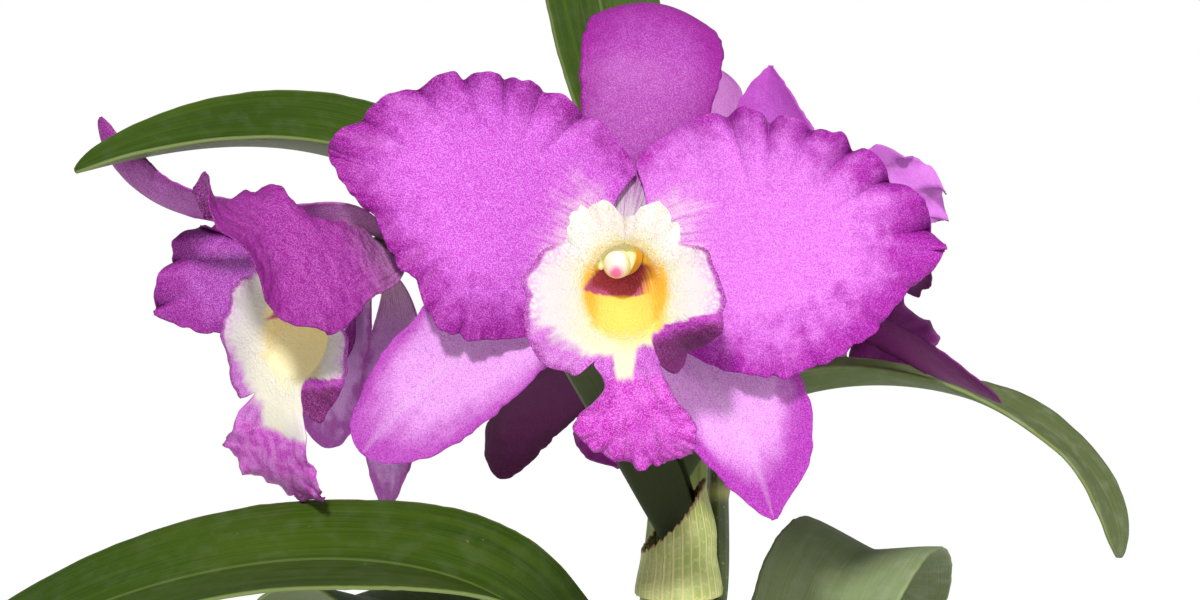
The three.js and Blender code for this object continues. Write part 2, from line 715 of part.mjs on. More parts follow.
// Each bloom: where its receptacle is, the way it faces, how it is turned about that way, how its
// lip and column are turned in it, where its pedicel leaves the stalk, and how its tepals differ.
const BLOOMS = [
  {
    name: "front",
    centre: [-3.6, -22, 284],
    facing: [0.02, -0.99, 0.1],
    turn: -11,
    lipTurn: 11,
    lip: { lobes: [1, 0.94], curls: [0, 70], necks: [4.4, 8], bladeHalfWidth: 12, drift: 4.5 },
    fine: true,
    stalkAt: 0.86,
    leave: [-0.2, -1, 0.2],
    reach: [12, 14],
    tepals: {
      dorsal_sepal: { angle: 92, length: 58.5, halfWidth: 14.6 },
      left_sepal: {
        angle: 222,
        length: 62.5,
        halfWidth: 13.8,
        right: [[0.4, 1], [0.65, 0.8], [0.85, 0.72], [1, 0.8]],
      },
      right_sepal: {
        angle: 316,
        length: 58,
        halfWidth: 13,
        start: 5,
        peak: 0.56,
        fall: 1.7,
        round: 0.72,
        left: [[0.2, 1], [0.5, 1.25], [0.85, 1.3], [1, 0.9]],
        right: [[0.2, 1], [0.5, 0.8], [1, 0.72]],
      },
      left_petal: { length: 58, sweepRight: BASE_LOBE },
      right_petal: {
        angle: 12,
        left: [[0.1, 1.12], [0.3, 1.12], [0.45, 1.03], [0.6, 1]],
        right: [[0.1, 0.92], [0.45, 0.94], [0.7, 0.86], [0.9, 0.66], [1, 0.6]],
        sweepLeft: BASE_LOBE,
      },
    },
  },
  {
    name: "left",
    centre: [-55, -6, 281],
    facing: [-0.6, -0.75, -0.3],
    turn: -14,
    lipTurn: 0,
    lip: { lobes: [0.85, 0.6], curls: [0, 30], necks: [9, 9], bladeHalfWidth: 13, reach: 23.6 },
    stalkAt: 0.98,
    leave: [-0.7, -1, 0.1],
    reach: [30, 16],
    tepals: {
      dorsal_sepal: {
        lead: 12,
        halfWidth: 10,
        left: [[0.1, 1], [0.35, 0.62], [1, 0.45]],
        right: [[0.7, 1], [1, 0.4]],
        way: [-106, 10, 275],
        tip: [-112, 10.5, 309],
        faces: [[0, [-0.6, -0.75, -0.3]], [0.3, [-0.1, -0.4, -0.9]], [1, [-0.2, -0.6, -0.7]]],
      },
      left_petal: {
        angle: 182,
        lead: 12,
        right: [[0, 0.2], [0.5, 0.3], [0.8, 0.8]],
        way: [-80, 22, 274],
        tip: [-104, 25, 266],
        faces: [[0, [-0.6, -0.75, -0.3]], [0.5, [-0.3, -0.9, 0.2]], [1, [-0.2, -0.9, 0.1]]],
      },
      right_petal: {
        angle: 33,
        lead: 8,
        left: [[0, 0.2], [0.5, 0.15], [0.75, 0.5], [1, 0.8]],
        right: [[0, 0.2], [0.25, 0.45], [0.5, 0.85], [0.8, 0.75]],
        way: [-67, -43, 290],
        tip: [-88, -32, 298],
        faces: [
          [0, [-0.6, -0.75, -0.3]],
          [0.22, [-0.2, 0.75, -0.6]],
          [0.6, [0, 0.8, -0.6]],
          [0.8, [0, 0.3, -0.95]],
          [1, [-0.2, -0.9, -0.3]],
        ],
      },
      left_sepal: {
        start: 4.4,
        lead: 10,
        halfWidth: 10,
        way: [-64, 13, 258],
        tip: [-67, 16, 238],
        faces: [[0, [-0.6, -0.75, -0.3]], [1, [-0.6, -0.8, 0]]],
      },
      right_sepal: {
        start: 5,
        lead: 10,
        halfWidth: 10,
        fall: 1.5,
        round: 0.9,
        way: [-52, -6, 250],
        tip: [-53, 1, 226],
        faces: [[0, [-0.6, -0.75, -0.3]], [1, [-0.8, -0.6, 0]]],
      },
    },
  },
  {
    name: "right",
    centre: [38, 28, 274],
    facing: [0.45, 0.82, 0.35],
    turn: 0,
    lipTurn: 0,
    lip: { lobes: [0.7, 0.7] },
    stalkAt: 0.72,
    leave: [1, 0.3, 0.2],
    tepals: {
      dorsal_sepal: {
        lead: 12,
        halfWidth: 12,
        peak: 0.5,
        fall: 1.5,
        round: 0.8,
        way: [26.4, 24, 300],
        tip: [28.4, 28, 318.5],
        faces: [[0, [0.45, 0.82, 0.35]], [1, [0.5, 0.9, 0]]],
      },
      left_petal: {
        lead: 8,
        halfWidth: 24,
        left: [[0.2, 0.5], [0.6, 0.3], [1, 0.2]],
        right: [[0.35, 1], [0.5, 1.2], [0.6, 0.82], [1, 0.8]],
        way: [48.8, 14, 289],
        tip: [65.2, 22, 287],
        faces: [[0, [0.45, 0.82, 0.35]], [0.5, [0.5, 0.9, 0]], [1, [0.1, 0.9, 0.3]]],
      },
      left_sepal: {
        lead: 10,
        halfWidth: 8,
        way: [52, 9, 263],
        tip: [76, 5, 249.4],
        faces: [[0, [0.45, 0.82, 0.35]], [0.5, [0.5, 0.4, 0.6]], [1, [0.3, 0.3, 0.9]]],
      },
      right_sepal: { angle: 300, length: 50, halfWidth: 11, bend: [[0, 14], [0.25, 42], [1, 40]] },
      right_petal: {
        angle: 16,
        halfWidth: 20,
        right: [[0, 0.5], [0.4, 0.8]],
        bend: [[0, 20], [0.4, 60], [1, 70]],
      },
    },
  },
  {
    name: "back",
    centre: [8, 28, 262],
    facing: [-0.3, 0.94, 0.1],
    turn: 0,
    lipTurn: 0,
    stalkAt: 0.6,
    leave: [-0.2, 1, 0.1],
    reach: [8, 14],
    tepals: {
      dorsal_sepal: {
        lead: 14,
        halfWidth: 11,
        way: [8, 34, 292],
        tip: [17.5, 44, 316.8],
        faces: [[0, [-0.3, 0.94, 0.1]], [1, [0.1, 0.9, 0.1]]],
      },
      right_sepal: {
        lead: 8,
        halfWidth: 7.5,
        way: [-25, 40, 252],
        tip: [-31, 60, 222.6],
        faces: [[0, [-0.3, 0.94, 0.1]], [0.5, [0.4, 0.9, 0.3]], [1, [0.4, 0.8, 0.6]]],
      },
      left_sepal: {
        start: 5,
        lead: 4,
        way: [13, 44, 254],
        tip: [16, 60, 234],
        faces: [[0, [-0.3, 0.94, 0.1]], [1, [-0.6, 0.2, 0.8]]],
      },
      left_petal: { angle: 106, length: 48, halfWidth: 12, bend: [[0, 16], [0.5, 36], [1, 36]] },
      right_petal: {
        angle: 22,
        length: 52,
        halfWidth: 19,
        left: [[0, 0.5], [1, 0.7]],
        right: [[0, 0.4], [0.4, 0.9]],
        bend: [[0, 16], [0.5, 44], [1, 46]],
      },
    },
  },
];

// The lip, in the bloom's frame: a tube round the column that opens into two side lobes, and a
// tongue that narrows at its neck and spreads into the front lobe.
const FLARE_LENGTH = [
  [0, 7],
  [24, 7],
  [34, 12],
  [50, 14],
  [90, 12.5],
  [112, 10.5],
  [127, 7.2],
  [140, 9],
  [160, 10],
  [180, 8],
];
const FLARE_ANGLE = [[0, 72], [24, 72], [60, 88], [90, 100], [120, 98], [150, 88], [180, 80]];
const THROAT_LEAN = 20;
const CURL = { middle: 44, spread: 18 };

function lipMouth(angle) {
  const half = (LIP.mouthTop - LIP.mouthBottom) / 2;
  const middle = (LIP.mouthTop + LIP.mouthBottom) / 2;
  return at(
    LIP.mouthHalfWidth * Math.sin(angle),
    middle - half * Math.cos(angle),
    LIP.mouthFront + LIP.mouthLean * Math.cos(angle),
  );
}

// A point of the tube and its flare: v across from slit to slit, and s along, where 1 is the
// mouth and 2 is the rim.
function lipPoint(v, s, { lobes, curls }) {
  const degrees = LIP.slit * (0.35 * v + 0.65 * v ** 3);
  const angle = degToRad(degrees);
  const out = at(Math.sin(angle), -Math.cos(angle), 0);
  const mouth = lipMouth(angle);
  const tilt = degToRad(THROAT_LEAN);
  if (s <= 1) {
    const foot = out.clone().multiplyScalar(LIP.footRadius).setZ(LIP.footFront);
    const lead = out.clone().multiplyScalar(-6 * Math.sin(tilt)).setZ(-6 * Math.cos(tilt));
    const swell = out.clone().multiplyScalar(LIP.footRadius + 2.4).setZ(LIP.footFront + 6);
    return new THREE.CubicBezierCurve3(foot, swell, mouth.clone().add(lead), mouth).getPoint(s);
  }
  const side = degrees < 0 ? 0 : 1;
  const round = Math.abs(degrees);
  const share = lerp(1, lobes[side], smoothstep(round, 24, 50));
  const length = along(FLARE_LENGTH, round) * share * (s - 1);
  const curl = curls[side] * Math.exp(-(((round - CURL.middle) / CURL.spread) ** 2));
  const end = degToRad(along(FLARE_ANGLE, round) + curl);
  const steps = 12;
  const p = mouth.clone();
  for (let i = 0; i < steps; i++) {
    const run = (length * (i + 0.5)) / steps;
    const lean = lerp(tilt, end, 1 - Math.exp(-run / LIP.flareBend));
    p.addScaledVector(out, (Math.sin(lean) * length) / steps);
    p.z += (Math.cos(lean) * length) / steps;
  }
  return p;
}

// The lean of the tongue's middle from the front, and the rise of its margins, along it.
const TONGUE_LEAN = [[0, 74], [0.45, 92], [1, 128]];
const TONGUE_LIFT = [[0, 1], [0.25, 3.4], [0.6, 1.2], [1, -1]];

function lipGeometry(shape, { tubeRows, flareRows, tongueRows, sideColumns }) {
  const columns = 2 * sideColumns;
  const rows = tubeRows + flareRows;
  const points = [];
  for (let i = 0; i <= rows; i++)
    for (let j = 0; j <= columns; j++) {
      const s = i <= tubeRows ? i / tubeRows : 1 + (i - tubeRows) / flareRows;
      points.push(lipPoint(1 - (2 * j) / columns, s, shape));
    }
  const triangles = gridTriangles(points, rows, columns);
  const half = Math.round(sideColumns * LIP.tongueShare);
  const rim = rows * (columns + 1);
  const middle = sideColumns;
  const edge = Math.abs(points[rim + middle - half].x);
  const centre = points[rim + middle].clone();
  let before = [];
  for (let j = -half; j <= half; j++) before.push(rim + middle + j);
  const first = before.map((id) => points[id].clone());
  for (let r = 1; r <= tongueRows; r++) {
    const share = r / tongueRows;
    const step = shape.reach / tongueRows;
    const lean = degToRad(along(TONGUE_LEAN, share - 0.5 / tongueRows));
    centre.y -= Math.sin(lean) * step;
    centre.z += Math.cos(lean) * step;
    const settle = (1 - share) ** 2;
    const now = [];
    for (let k = -half; k <= half; k++) {
      const v = k / half;
      const width = tongueHalfWidth(share, edge, shape.necks[v > 0 ? 0 : 1], shape.bladeHalfWidth);
      const rise = along(TONGUE_LIFT, share) * Math.abs(v) ** 3 * (1 - settle);
      const p = first[k + half].clone().sub(first[half]).multiplyScalar(settle).add(centre);
      p.x = shape.drift * share * share - v * width;
      p.z += rise;
      now.push(points.length);
      points.push(p);
    }
    for (let k = 0; k < 2 * half; k++) {
      const [a, b, c, d] = [before[k], before[k + 1], now[k + 1], now[k]];
      triangles.push([a, b, c], [a, c, d]);
    }
    before = now;
  }
  return thicken(points, triangles, TEPAL.thickness);
}

// The half-width of the lip's tongue from its start at edge, through its neck, to its end.
function tongueHalfWidth(share, edge, neck, blade) {
  return along([[0, edge], [0.22, neck], [0.6, blade], [0.85, 0.78 * blade], [1, 0.25 * blade]], share);
}

// The column, a short arched club with the anther cap at its end.
function columnGeometry() {
  const start = RECEPTACLE.front + GAP;
  const end = start + COLUMN.length;
  const path = bezier([0, 0, start], [-0.2, -0.4, start + 7], [-0.6, -1, start + 12], [-1, -1.6, end]);
  const stops = [[0, COLUMN.radius], [0.6, 2.4], [0.84, 2.9], [0.96, 2.6], [1, 1.6]];
  return stem(path, (u) => along(stops, u), evenly(8), 8);
}

// A bloom's frame in the plant.
function bloomFrame({ facing, turn }) {
  const front = at(...facing).normalize();
  const up = UP.clone().addScaledVector(front, -UP.dot(front)).normalize();
  up.applyAxisAngle(front, degToRad(turn));
  const right = up.clone().cross(front);
  return new THREE.Matrix4().makeBasis(right, up, front);
}

// The pedicel with the ovary at its end. It leaves the stalk's side and ends in the receptacle.
function pedicelGeometry(bloom) {
  const centre = at(...bloom.centre);
  const front = at(...bloom.facing).normalize();
  const stalk = STALK_PATH.getPointAt(bloom.stalkAt);
  const leave = at(...bloom.leave).normalize();
  const start = stalk.clone().addScaledVector(leave, STALK.radius + 2 * GAP);
  const end = centre.clone().addScaledVector(front, RECEPTACLE.front);
  const [away, home] = bloom.reach ?? [12, 12];
  const path = new THREE.CubicBezierCurve3(
    start,
    start.clone().addScaledVector(leave, away),
    end.clone().addScaledVector(front, -home),
    end,
  );
  const knob = (RECEPTACLE.front - RECEPTACLE.back) / path.getLength();
  const ovary = 1 - 3.2 * knob;
  const profile = [
    [0, PEDICEL.radius],
    [ovary, PEDICEL.radius + 0.2],
    [1 - 2.1 * knob, 2.8],
    [1 - knob, 3.4],
    [1 - 0.8 * knob, RECEPTACLE.radius],
    [1 - 0.1 * knob, RECEPTACLE.radius],
    [1, RECEPTACLE.radius - 0.4],
  ];
  const places = evenly(5).slice(0, -1).map((u) => u * ovary);
  for (const [u] of profile.slice(1)) places.push(u);
  return stem(path, (u) => along(profile, u), places, 9);
}

// How finely each kind of sheet is divided: in the front bloom first, then in the others.
const GRIDS = {
  petal: [[20, 8], [14, 6]],
  sepal: [[10, 4], [8, 4]],
  lip: [
    { tubeRows: 5, flareRows: 4, tongueRows: 7, sideColumns: 9 },
    { tubeRows: 3, flareRows: 3, tongueRows: 5, sideColumns: 6 },
  ],
};

function addBlooms() {
  add(root, "flower_stalk", stem(STALK_PATH, stalkRadius, evenly(20), 8), "stalk");
  for (const bloom of BLOOMS) {
    const matrix = bloomFrame(bloom);
    const group = new THREE.Group();
    group.position.set(...bloom.centre);
    group.quaternion.setFromRotationMatrix(matrix);
    root.add(group);
    const toBloom = matrix.clone().setPosition(...bloom.centre).invert();
    for (const [kind, standard] of Object.entries(TEPALS)) {
      const shape = { ...standard, start: RECEPTACLE.radius + 1.5 * GAP, ...bloom.tepals[kind] };
      const finish = kind.endsWith("petal") ? "petal" : "sepal";
      const [rows, columns] = GRIDS[finish][bloom.fine ? 0 : 1];
      const spine = shape.way ? guidedSpine(shape, toBloom) : tepalSpine(shape);
      const geometry = blade(spine, shape, rows, columns, TEPAL.thickness);
      add(group, `bloom_${bloom.name}_${kind}`, geometry, finish);
    }
    const throat = new THREE.Group();
    throat.rotation.z = degToRad(bloom.lipTurn);
    group.add(throat);
    const lip = lipGeometry({ ...LIP_STANDARD, ...bloom.lip }, GRIDS.lip[bloom.fine ? 0 : 1]);
    add(throat, `bloom_${bloom.name}_lip`, lip, "lip");
    add(throat, `bloom_${bloom.name}_column`, columnGeometry(), "column");
    add(root, `bloom_${bloom.name}_pedicel`, pedicelGeometry(bloom), "pedicel");
  }
}

add(root, "pot", potGeometry(), "clay");
add(root, "bark_mix", barkGeometry(), "bark");
add(root, "rhizome_and_roots", geometryOf(fused(rhizomeStems(0))), "root");
addShoots();
add(root, "leaf_sheath", sheathGeometry(), "sheath");
addBlooms();

export default root;
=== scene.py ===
"""A potted cattleya orchid in bloom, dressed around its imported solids.

Sizes are in millimetres and become metres where a mesh is made. The frame is the part's own:
+Z up, -Y towards the side that the front bloom faces, and the origin under the pot's middle.
"""

from __future__ import annotations

import json
import logging
import math
from dataclasses import dataclass, field, replace
from enum import Enum
from typing import Callable, Iterable, NamedTuple, Sequence

import bmesh
import bpy
import numpy as np
from bpy.types import Collection, Material, Mesh, Node, NodeSocket, NodeTree, Object
from mathutils import Matrix, Vector

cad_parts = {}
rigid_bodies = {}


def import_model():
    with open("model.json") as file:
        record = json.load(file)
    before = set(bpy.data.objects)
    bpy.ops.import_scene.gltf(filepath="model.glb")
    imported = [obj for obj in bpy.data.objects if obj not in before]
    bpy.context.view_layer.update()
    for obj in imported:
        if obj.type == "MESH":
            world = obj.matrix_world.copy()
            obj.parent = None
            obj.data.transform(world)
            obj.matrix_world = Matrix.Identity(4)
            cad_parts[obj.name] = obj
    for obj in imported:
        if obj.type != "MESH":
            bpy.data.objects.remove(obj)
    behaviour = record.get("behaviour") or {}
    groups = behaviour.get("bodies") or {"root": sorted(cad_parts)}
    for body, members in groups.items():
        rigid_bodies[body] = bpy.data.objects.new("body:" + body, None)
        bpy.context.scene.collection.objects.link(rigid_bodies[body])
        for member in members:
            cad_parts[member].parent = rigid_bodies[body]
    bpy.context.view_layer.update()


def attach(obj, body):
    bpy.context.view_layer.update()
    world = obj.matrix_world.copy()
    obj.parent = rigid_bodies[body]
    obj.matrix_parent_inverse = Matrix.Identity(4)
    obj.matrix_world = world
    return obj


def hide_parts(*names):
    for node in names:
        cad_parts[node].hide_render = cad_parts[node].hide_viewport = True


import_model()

Stops = Sequence[tuple[float, float]]
Triple = tuple[float, float, float]
Array = np.ndarray

LOG = logging.getLogger("orchid")
UP = np.array([0.0, 0.0, 1.0])
# A millimetre in metres, the gap where pieces rest on each other, and what 1 is in a spot mark
MM = 0.001
GAP = 0.3
SPOT = 50.0


# Arithmetic on arrays


def smoothstep(x: Array, low: float, high: float) -> Array:
    """Rises smoothly from 0 at low to 1 at high."""
    t = np.clip((np.asarray(x, float) - low) / (high - low), 0, 1)
    return t * t * (3 - 2 * t)


def lerp(a: Array, b: Array, t: Array) -> Array:
    """The value t of the way from a to b."""
    return a + (b - a) * t


def along(stops: Stops, x: Array) -> Array:
    """A smooth value between stops.

    Args:
        stops: Pairs of place and value, in order of place.
        x: The places asked for.

    Returns:
        The value at each place.
    """
    x = np.asarray(x, float)
    value = np.full(x.shape, float(stops[0][1]))
    for (low, a), (high, b) in zip(stops, stops[1:]):
        value = np.where(x > low, lerp(a, b, smoothstep(x, low, high)), value)
    return value


def unit(vectors: Array) -> Array:
    """The vectors at length 1."""
    vectors = np.asarray(vectors, float)
    return vectors / np.maximum(np.linalg.norm(vectors, axis=-1, keepdims=True), 1e-12)


def dot(a: Array, b: Array) -> Array:
    """The dot products of two rows of vectors, as a column."""
    return np.sum(np.asarray(a) * np.asarray(b), axis=-1, keepdims=True)


def turned(vectors: Array, axis: Array, angle: Array) -> Array:
    """The vectors turned about unit axes by angles in radians, by the right-hand rule."""
    angle = np.asarray(angle, float)[..., None]
    cosine, sine = np.cos(angle), np.sin(angle)
    return vectors * cosine + np.cross(axis, vectors) * sine + axis * dot(axis, vectors) * (1 - cosine)


def ripple(place: Array, seed: int, octaves: int = 4) -> Array:
    """A smooth wandering value from about -1 to 1, the same on each run.

    Args:
        place: Where it is read, in wavelengths.
        seed: Chooses the course that it takes.
        octaves: How many sine waves make it up.
    """
    random = np.random.default_rng(seed)
    total = np.zeros(np.shape(place))
    for octave in range(octaves):
        pace, phase = 0.6 + 0.55 * octave + 0.3 * random.random(), 2 * math.pi * random.random()
        total = total + np.sin(2 * math.pi * pace * np.asarray(place) + phase) / (1 + 0.5 * octave)
    return total / 1.9


# Curves


class Path:
    """A curve in space, read by its own parameter or by shares of its length."""

    TABLE = 400

    def at(self, t: Array) -> Array:
        """The points at parameters t."""
        raise NotImplementedError

    def heading(self, t: Array) -> Array:
        """The unit directions at parameters t."""
        step = 1e-4
        low, high = np.clip(t - step, 0, 1), np.clip(t + step, 0, 1)
        return unit(self.at(high) - self.at(low))

    def even(self, share: Array) -> Array:
        """The parameters at shares of the length."""
        t = np.linspace(0, 1, self.TABLE + 1)
        steps = np.linalg.norm(np.diff(self.at(t), axis=0), axis=1)
        run = np.concatenate([[0], np.cumsum(steps)])
        return np.interp(share, run / run[-1], t)

    def length(self) -> float:
        """The length of the curve."""
        points = self.at(np.linspace(0, 1, self.TABLE + 1))
        return float(np.linalg.norm(np.diff(points, axis=0), axis=1).sum())


@dataclass(frozen=True)
class Cubic(Path):
    """A cubic curve between two points, drawn by two more."""

    points: tuple[Sequence[float], ...]

    def at(self, t: Array) -> Array:
        """The points at parameters t."""
        t = np.asarray(t, float)[..., None]
        a, b, c, d = (np.asarray(p, float) for p in self.points)
        return (1 - t) ** 3 * a + 3 * (1 - t) ** 2 * t * b + 3 * (1 - t) * t**2 * c + t**3 * d


@dataclass(frozen=True)
class Through(Path):
    """A smooth curve through points, centripetal so that it makes no loops."""

    points: tuple[Triple, ...]

    def at(self, t: Array) -> Array:
        """The points at parameters t."""
        knots = np.array(self.points, float)
        knots = np.vstack([2 * knots[0] - knots[1], knots, 2 * knots[-1] - knots[-2]])
        spans = len(self.points) - 1
        t = np.asarray(t, float)
        index = np.minimum((t * spans).astype(int), spans - 1)
        w = (t * spans - index)[..., None]
        p0, p1, p2, p3 = (knots[index + i] for i in range(4))
        d0, d1, d2 = (np.sqrt(np.linalg.norm(b - a, axis=-1, keepdims=True)) for a, b in ((p0, p1), (p1, p2), (p2, p3)))
        m1 = ((p1 - p0) / d0 - (p2 - p0) / (d0 + d1) + (p2 - p1) / d1) * d1
        m2 = ((p2 - p1) / d1 - (p3 - p1) / (d1 + d2) + (p3 - p2) / d2) * d1
        return p1 + m1 * w + (3 * (p2 - p1) - 2 * m1 - m2) * w**2 + (2 * (p1 - p2) + m1 + m2) * w**3


# Meshes


class Form(NamedTuple):
    """A closed form: its points in millimetres, its faces, and for each point its place and marks."""

    points: Array
    faces: list[Sequence[int]]
    place: Array
    marks: dict[str, Array]


def grid_faces(rows: int, columns: int) -> Array:
    """The quads of a grid of points with rows and columns of cells."""
    i, j = np.meshgrid(np.arange(rows), np.arange(columns), indexing="ij")
    first = (i * (columns + 1) + j).ravel()
    return np.stack([first, first + 1, first + columns + 2, first + columns + 1], axis=1)


def grid_place(across: Array, share: Array) -> Array:
    """The places of a grid of points, row by row, from those of its columns and of its rows."""
    return np.stack(np.broadcast_arrays(across, share[:, None]), -1).reshape(-1, 2)


def point_normals(points: Array, faces: Array) -> Array:
    """The unit normal at each point of a sheet of quads."""
    a, b, c, d = (points[faces[:, k]] for k in range(4))
    across = np.cross(c - a, d - b)
    normals = np.zeros_like(points)
    for k in range(4):
        np.add.at(normals, faces[:, k], across)
    return unit(normals)


def ring_faces(rings: int, sides: int) -> Array:
    """The quads between rings of points, each with so many sides."""
    i, j = np.meshgrid(np.arange(rings - 1), np.arange(sides), indexing="ij")
    low, high, k = i * sides, (i + 1) * sides, (j + 1) % sides
    return np.stack([low + j, low + k, high + k, high + j], -1).reshape(-1, 4)


def capped_faces(rings: int, sides: int) -> list[Sequence[int]]:
    """The quads between rings of points, and a fan to a point beyond each end, first and last."""
    faces = ring_faces(rings, sides).tolist()
    last, low, high = (rings - 1) * sides, rings * sides, rings * sides + 1
    for j in range(sides):
        k = (j + 1) % sides
        faces += [(low, k, j), (high, last + j, last + k)]
    return faces


def rim_edges(faces: Array) -> list[tuple[int, int]]:
    """The edges of a sheet of quads that only one quad has, each in that quad's order."""
    seen: dict[tuple[int, int], None] = {}
    for face in faces.tolist():
        for p, q in zip(face, face[1:] + face[:1]):
            if (q, p) in seen:
                del seen[q, p]
            else:
                seen[p, q] = None
    return list(seen)


@dataclass
class Sheet:
    """A thin sheet: its middle surface, with a place, a thickness and marks at each point."""

    points: Array
    faces: Array
    place: Array
    thickness: Array
    marks: dict[str, Array] = field(default_factory=dict)

    def form(self) -> Form:
        """The sheet as a closed form, grown both ways along its normals, with a bead on its rim."""
        half = point_normals(self.points, self.faces) * (self.thickness[:, None] / 2)
        count = len(self.points)
        faces = self.faces.tolist() + (self.faces[:, ::-1] + count).tolist()
        faces += [[q, p, p + count, q + count] for p, q in rim_edges(self.faces)]
        marks = {name: np.concatenate([mark, mark]) for name, mark in self.marks.items()}
        marks["underside"] = np.concatenate([np.zeros(count), np.ones(count)])
        points = np.concatenate([self.points + half, self.points - half])
        return Form(points, faces, np.concatenate([self.place, self.place]), marks)


def rounded(
    places: Array, radius: Callable[[Array], Array], length: float, start: float, end: float
) -> tuple[Array, Callable[[Array], Array]]:
    """Rounds a stem's ends.

    Args:
        places: The shares at which the stem has rings.
        radius: Its radius at shares of the length.
        length: Its length.
        start: How long the rounding is at its start.
        end: How long the rounding is at its end.

    Returns:
        More places, and the radius with both ends rounded.
    """
    arcs = 1 - np.cos(np.linspace(0, math.pi / 2, 7))
    extra = np.concatenate([arcs * start / length, 1 - arcs * end / length])
    inner = places[(places > start / length) & (places < 1 - end / length)]
    merged = np.unique(np.concatenate([extra, inner]))

    def shaped(share: Array) -> Array:
        near = np.clip(share * length / max(start, 1e-6), 0.004, 1)
        far = np.clip((1 - share) * length / max(end, 1e-6), 0.004, 1)
        return radius(share) * np.sqrt(1 - (1 - near) ** 2) * np.sqrt(1 - (1 - far) ** 2)

    return merged, shaped


def stem_form(
    path: Path, radius: Callable[[Array], Array], rings: int, sides: int, ends: tuple[float, float], flute: float = 0.0
) -> Form:
    """A closed round form along a curve.

    Args:
        path: The curve, read by shares of its length.
        radius: The radius at shares of the length.
        rings: The rings of points along it, next to those of its rounded ends.
        sides: The points in a ring.
        ends: How long the rounding is at its start and at its end.
        flute: The depth of its lengthwise grooves.

    Returns:
        The form. Its place is the share round it and the share along it.
    """
    places, shaped = rounded(np.linspace(0, 1, rings), radius, path.length(), *ends)
    t = path.even(places)
    centres, forward = path.at(t), path.heading(t)
    behind = np.array([0.1, 1.0, 0.25])
    side = [unit(behind - forward[0] * float(np.dot(behind, forward[0])))]
    for k in range(1, len(places)):
        side.append(unit(side[-1] - forward[k] * float(np.dot(side[-1], forward[k]))))
    normal = np.array(side)
    binormal = np.cross(forward, normal)
    turn = np.linspace(0, 2 * math.pi, sides, endpoint=False)
    reach = shaped(places)[:, None] - flute * (0.5 + 0.5 * np.cos(turn * 9 + 0.7))[None, :]
    ring = normal[:, None, :] * np.cos(turn)[None, :, None] + binormal[:, None, :] * np.sin(turn)[None, :, None]
    points = centres[:, None, :] + ring * reach[..., None]
    flat = np.concatenate([points.reshape(-1, 3), centres[:1], centres[-1:]])
    place = np.concatenate([grid_place(turn / (2 * math.pi), places), [[0.5, places[0]], [0.5, places[-1]]]])
    return Form(flat, capped_faces(len(places), sides), place, {})


def mesh_from(name: str, form: Form) -> Mesh:
    """A mesh from a form, in metres, with its place as a UV map and its marks as attributes."""
    mesh = bpy.data.meshes.new(name)
    mesh.from_pydata((form.points * MM).tolist(), [], [tuple(face) for face in form.faces])
    loops = np.zeros(len(mesh.loops), dtype=np.int32)
    mesh.loops.foreach_get("vertex_index", loops)
    place = form.place[loops].astype(np.float32)
    counts = np.array([len(face) for face in form.faces])
    firsts = np.concatenate([[0], np.cumsum(counts)[:-1]])
    spans = np.maximum.reduceat(place[:, 0], firsts) - np.minimum.reduceat(place[:, 0], firsts)
    place[np.repeat(spans > 0.6, counts) & (place[:, 0] < 0.5), 0] += 1
    layer = mesh.uv_layers.new(name="Place")
    layer.data.foreach_set("uv", place.ravel())
    for mark, values in form.marks.items():
        if values.ndim == 1:
            mesh.attributes.new(mark, "FLOAT", "POINT").data.foreach_set("value", values.astype(np.float32))
        else:
            attribute = mesh.attributes.new(mark, "FLOAT_VECTOR", "POINT")
            attribute.data.foreach_set("vector", values.astype(np.float32).ravel())
    mesh.shade_smooth()
    mesh.update()
    return mesh


def mesh_of(name: str, block: bmesh.types.BMesh) -> Mesh:
    """A mesh from editable geometry, which is freed."""
    mesh = bpy.data.meshes.new(name)
    block.to_mesh(mesh)
    block.free()
    return mesh


def disc_mesh(name: str, radius: float, height: float, segments: int) -> Mesh:
    """A level disc about the part's axis, in metres."""
    disc = bmesh.new()
    place = Matrix.Translation((0, 0, height))
    bmesh.ops.create_circle(disc, cap_ends=True, radius=radius, segments=segments, matrix=place)
    return mesh_of(name, disc)


def linked(name: str, data: bpy.types.ID) -> Object:
    """A new object in the scene, at the origin."""
    thing = bpy.data.objects.new(name, data)
    bpy.context.scene.collection.objects.link(thing)
    return thing


def new_object(name: str, mesh: Mesh, material: Material) -> Object:
    """A linked object at the origin with one material."""
    mesh.materials.clear()
    mesh.materials.append(material)
    return linked(name, mesh)


def settle(thing: Object) -> Object:
    """Turns an object's modified shape into its plain mesh and takes the modifiers off."""
    graph = bpy.context.evaluated_depsgraph_get()
    mesh = bpy.data.meshes.new_from_object(thing.evaluated_get(graph), depsgraph=graph)
    thing.modifiers.clear()
    thing.data = mesh
    return thing


def dressed(thing: Object, slot: str, *nodes: str) -> Object:
    """Hangs a piece on the plant in place of its solids.

    Args:
        thing: The finished piece.
        slot: The record's material slot. It is not used.
        nodes: The solids that it stands for.
    """
    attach(thing, "root")
    if nodes:
        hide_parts(*nodes)
    LOG.info("%s: %d faces, in place of %s", thing.name, len(thing.data.polygons), ", ".join(nodes) or "nothing")
    return thing


def piece(name: str, form: Form, material: Material, slot: str, *nodes: str) -> Object:
    """A dressed piece from its form."""
    return dressed(new_object(name, mesh_from(name, form), material), slot, *nodes)


# Shader graphs


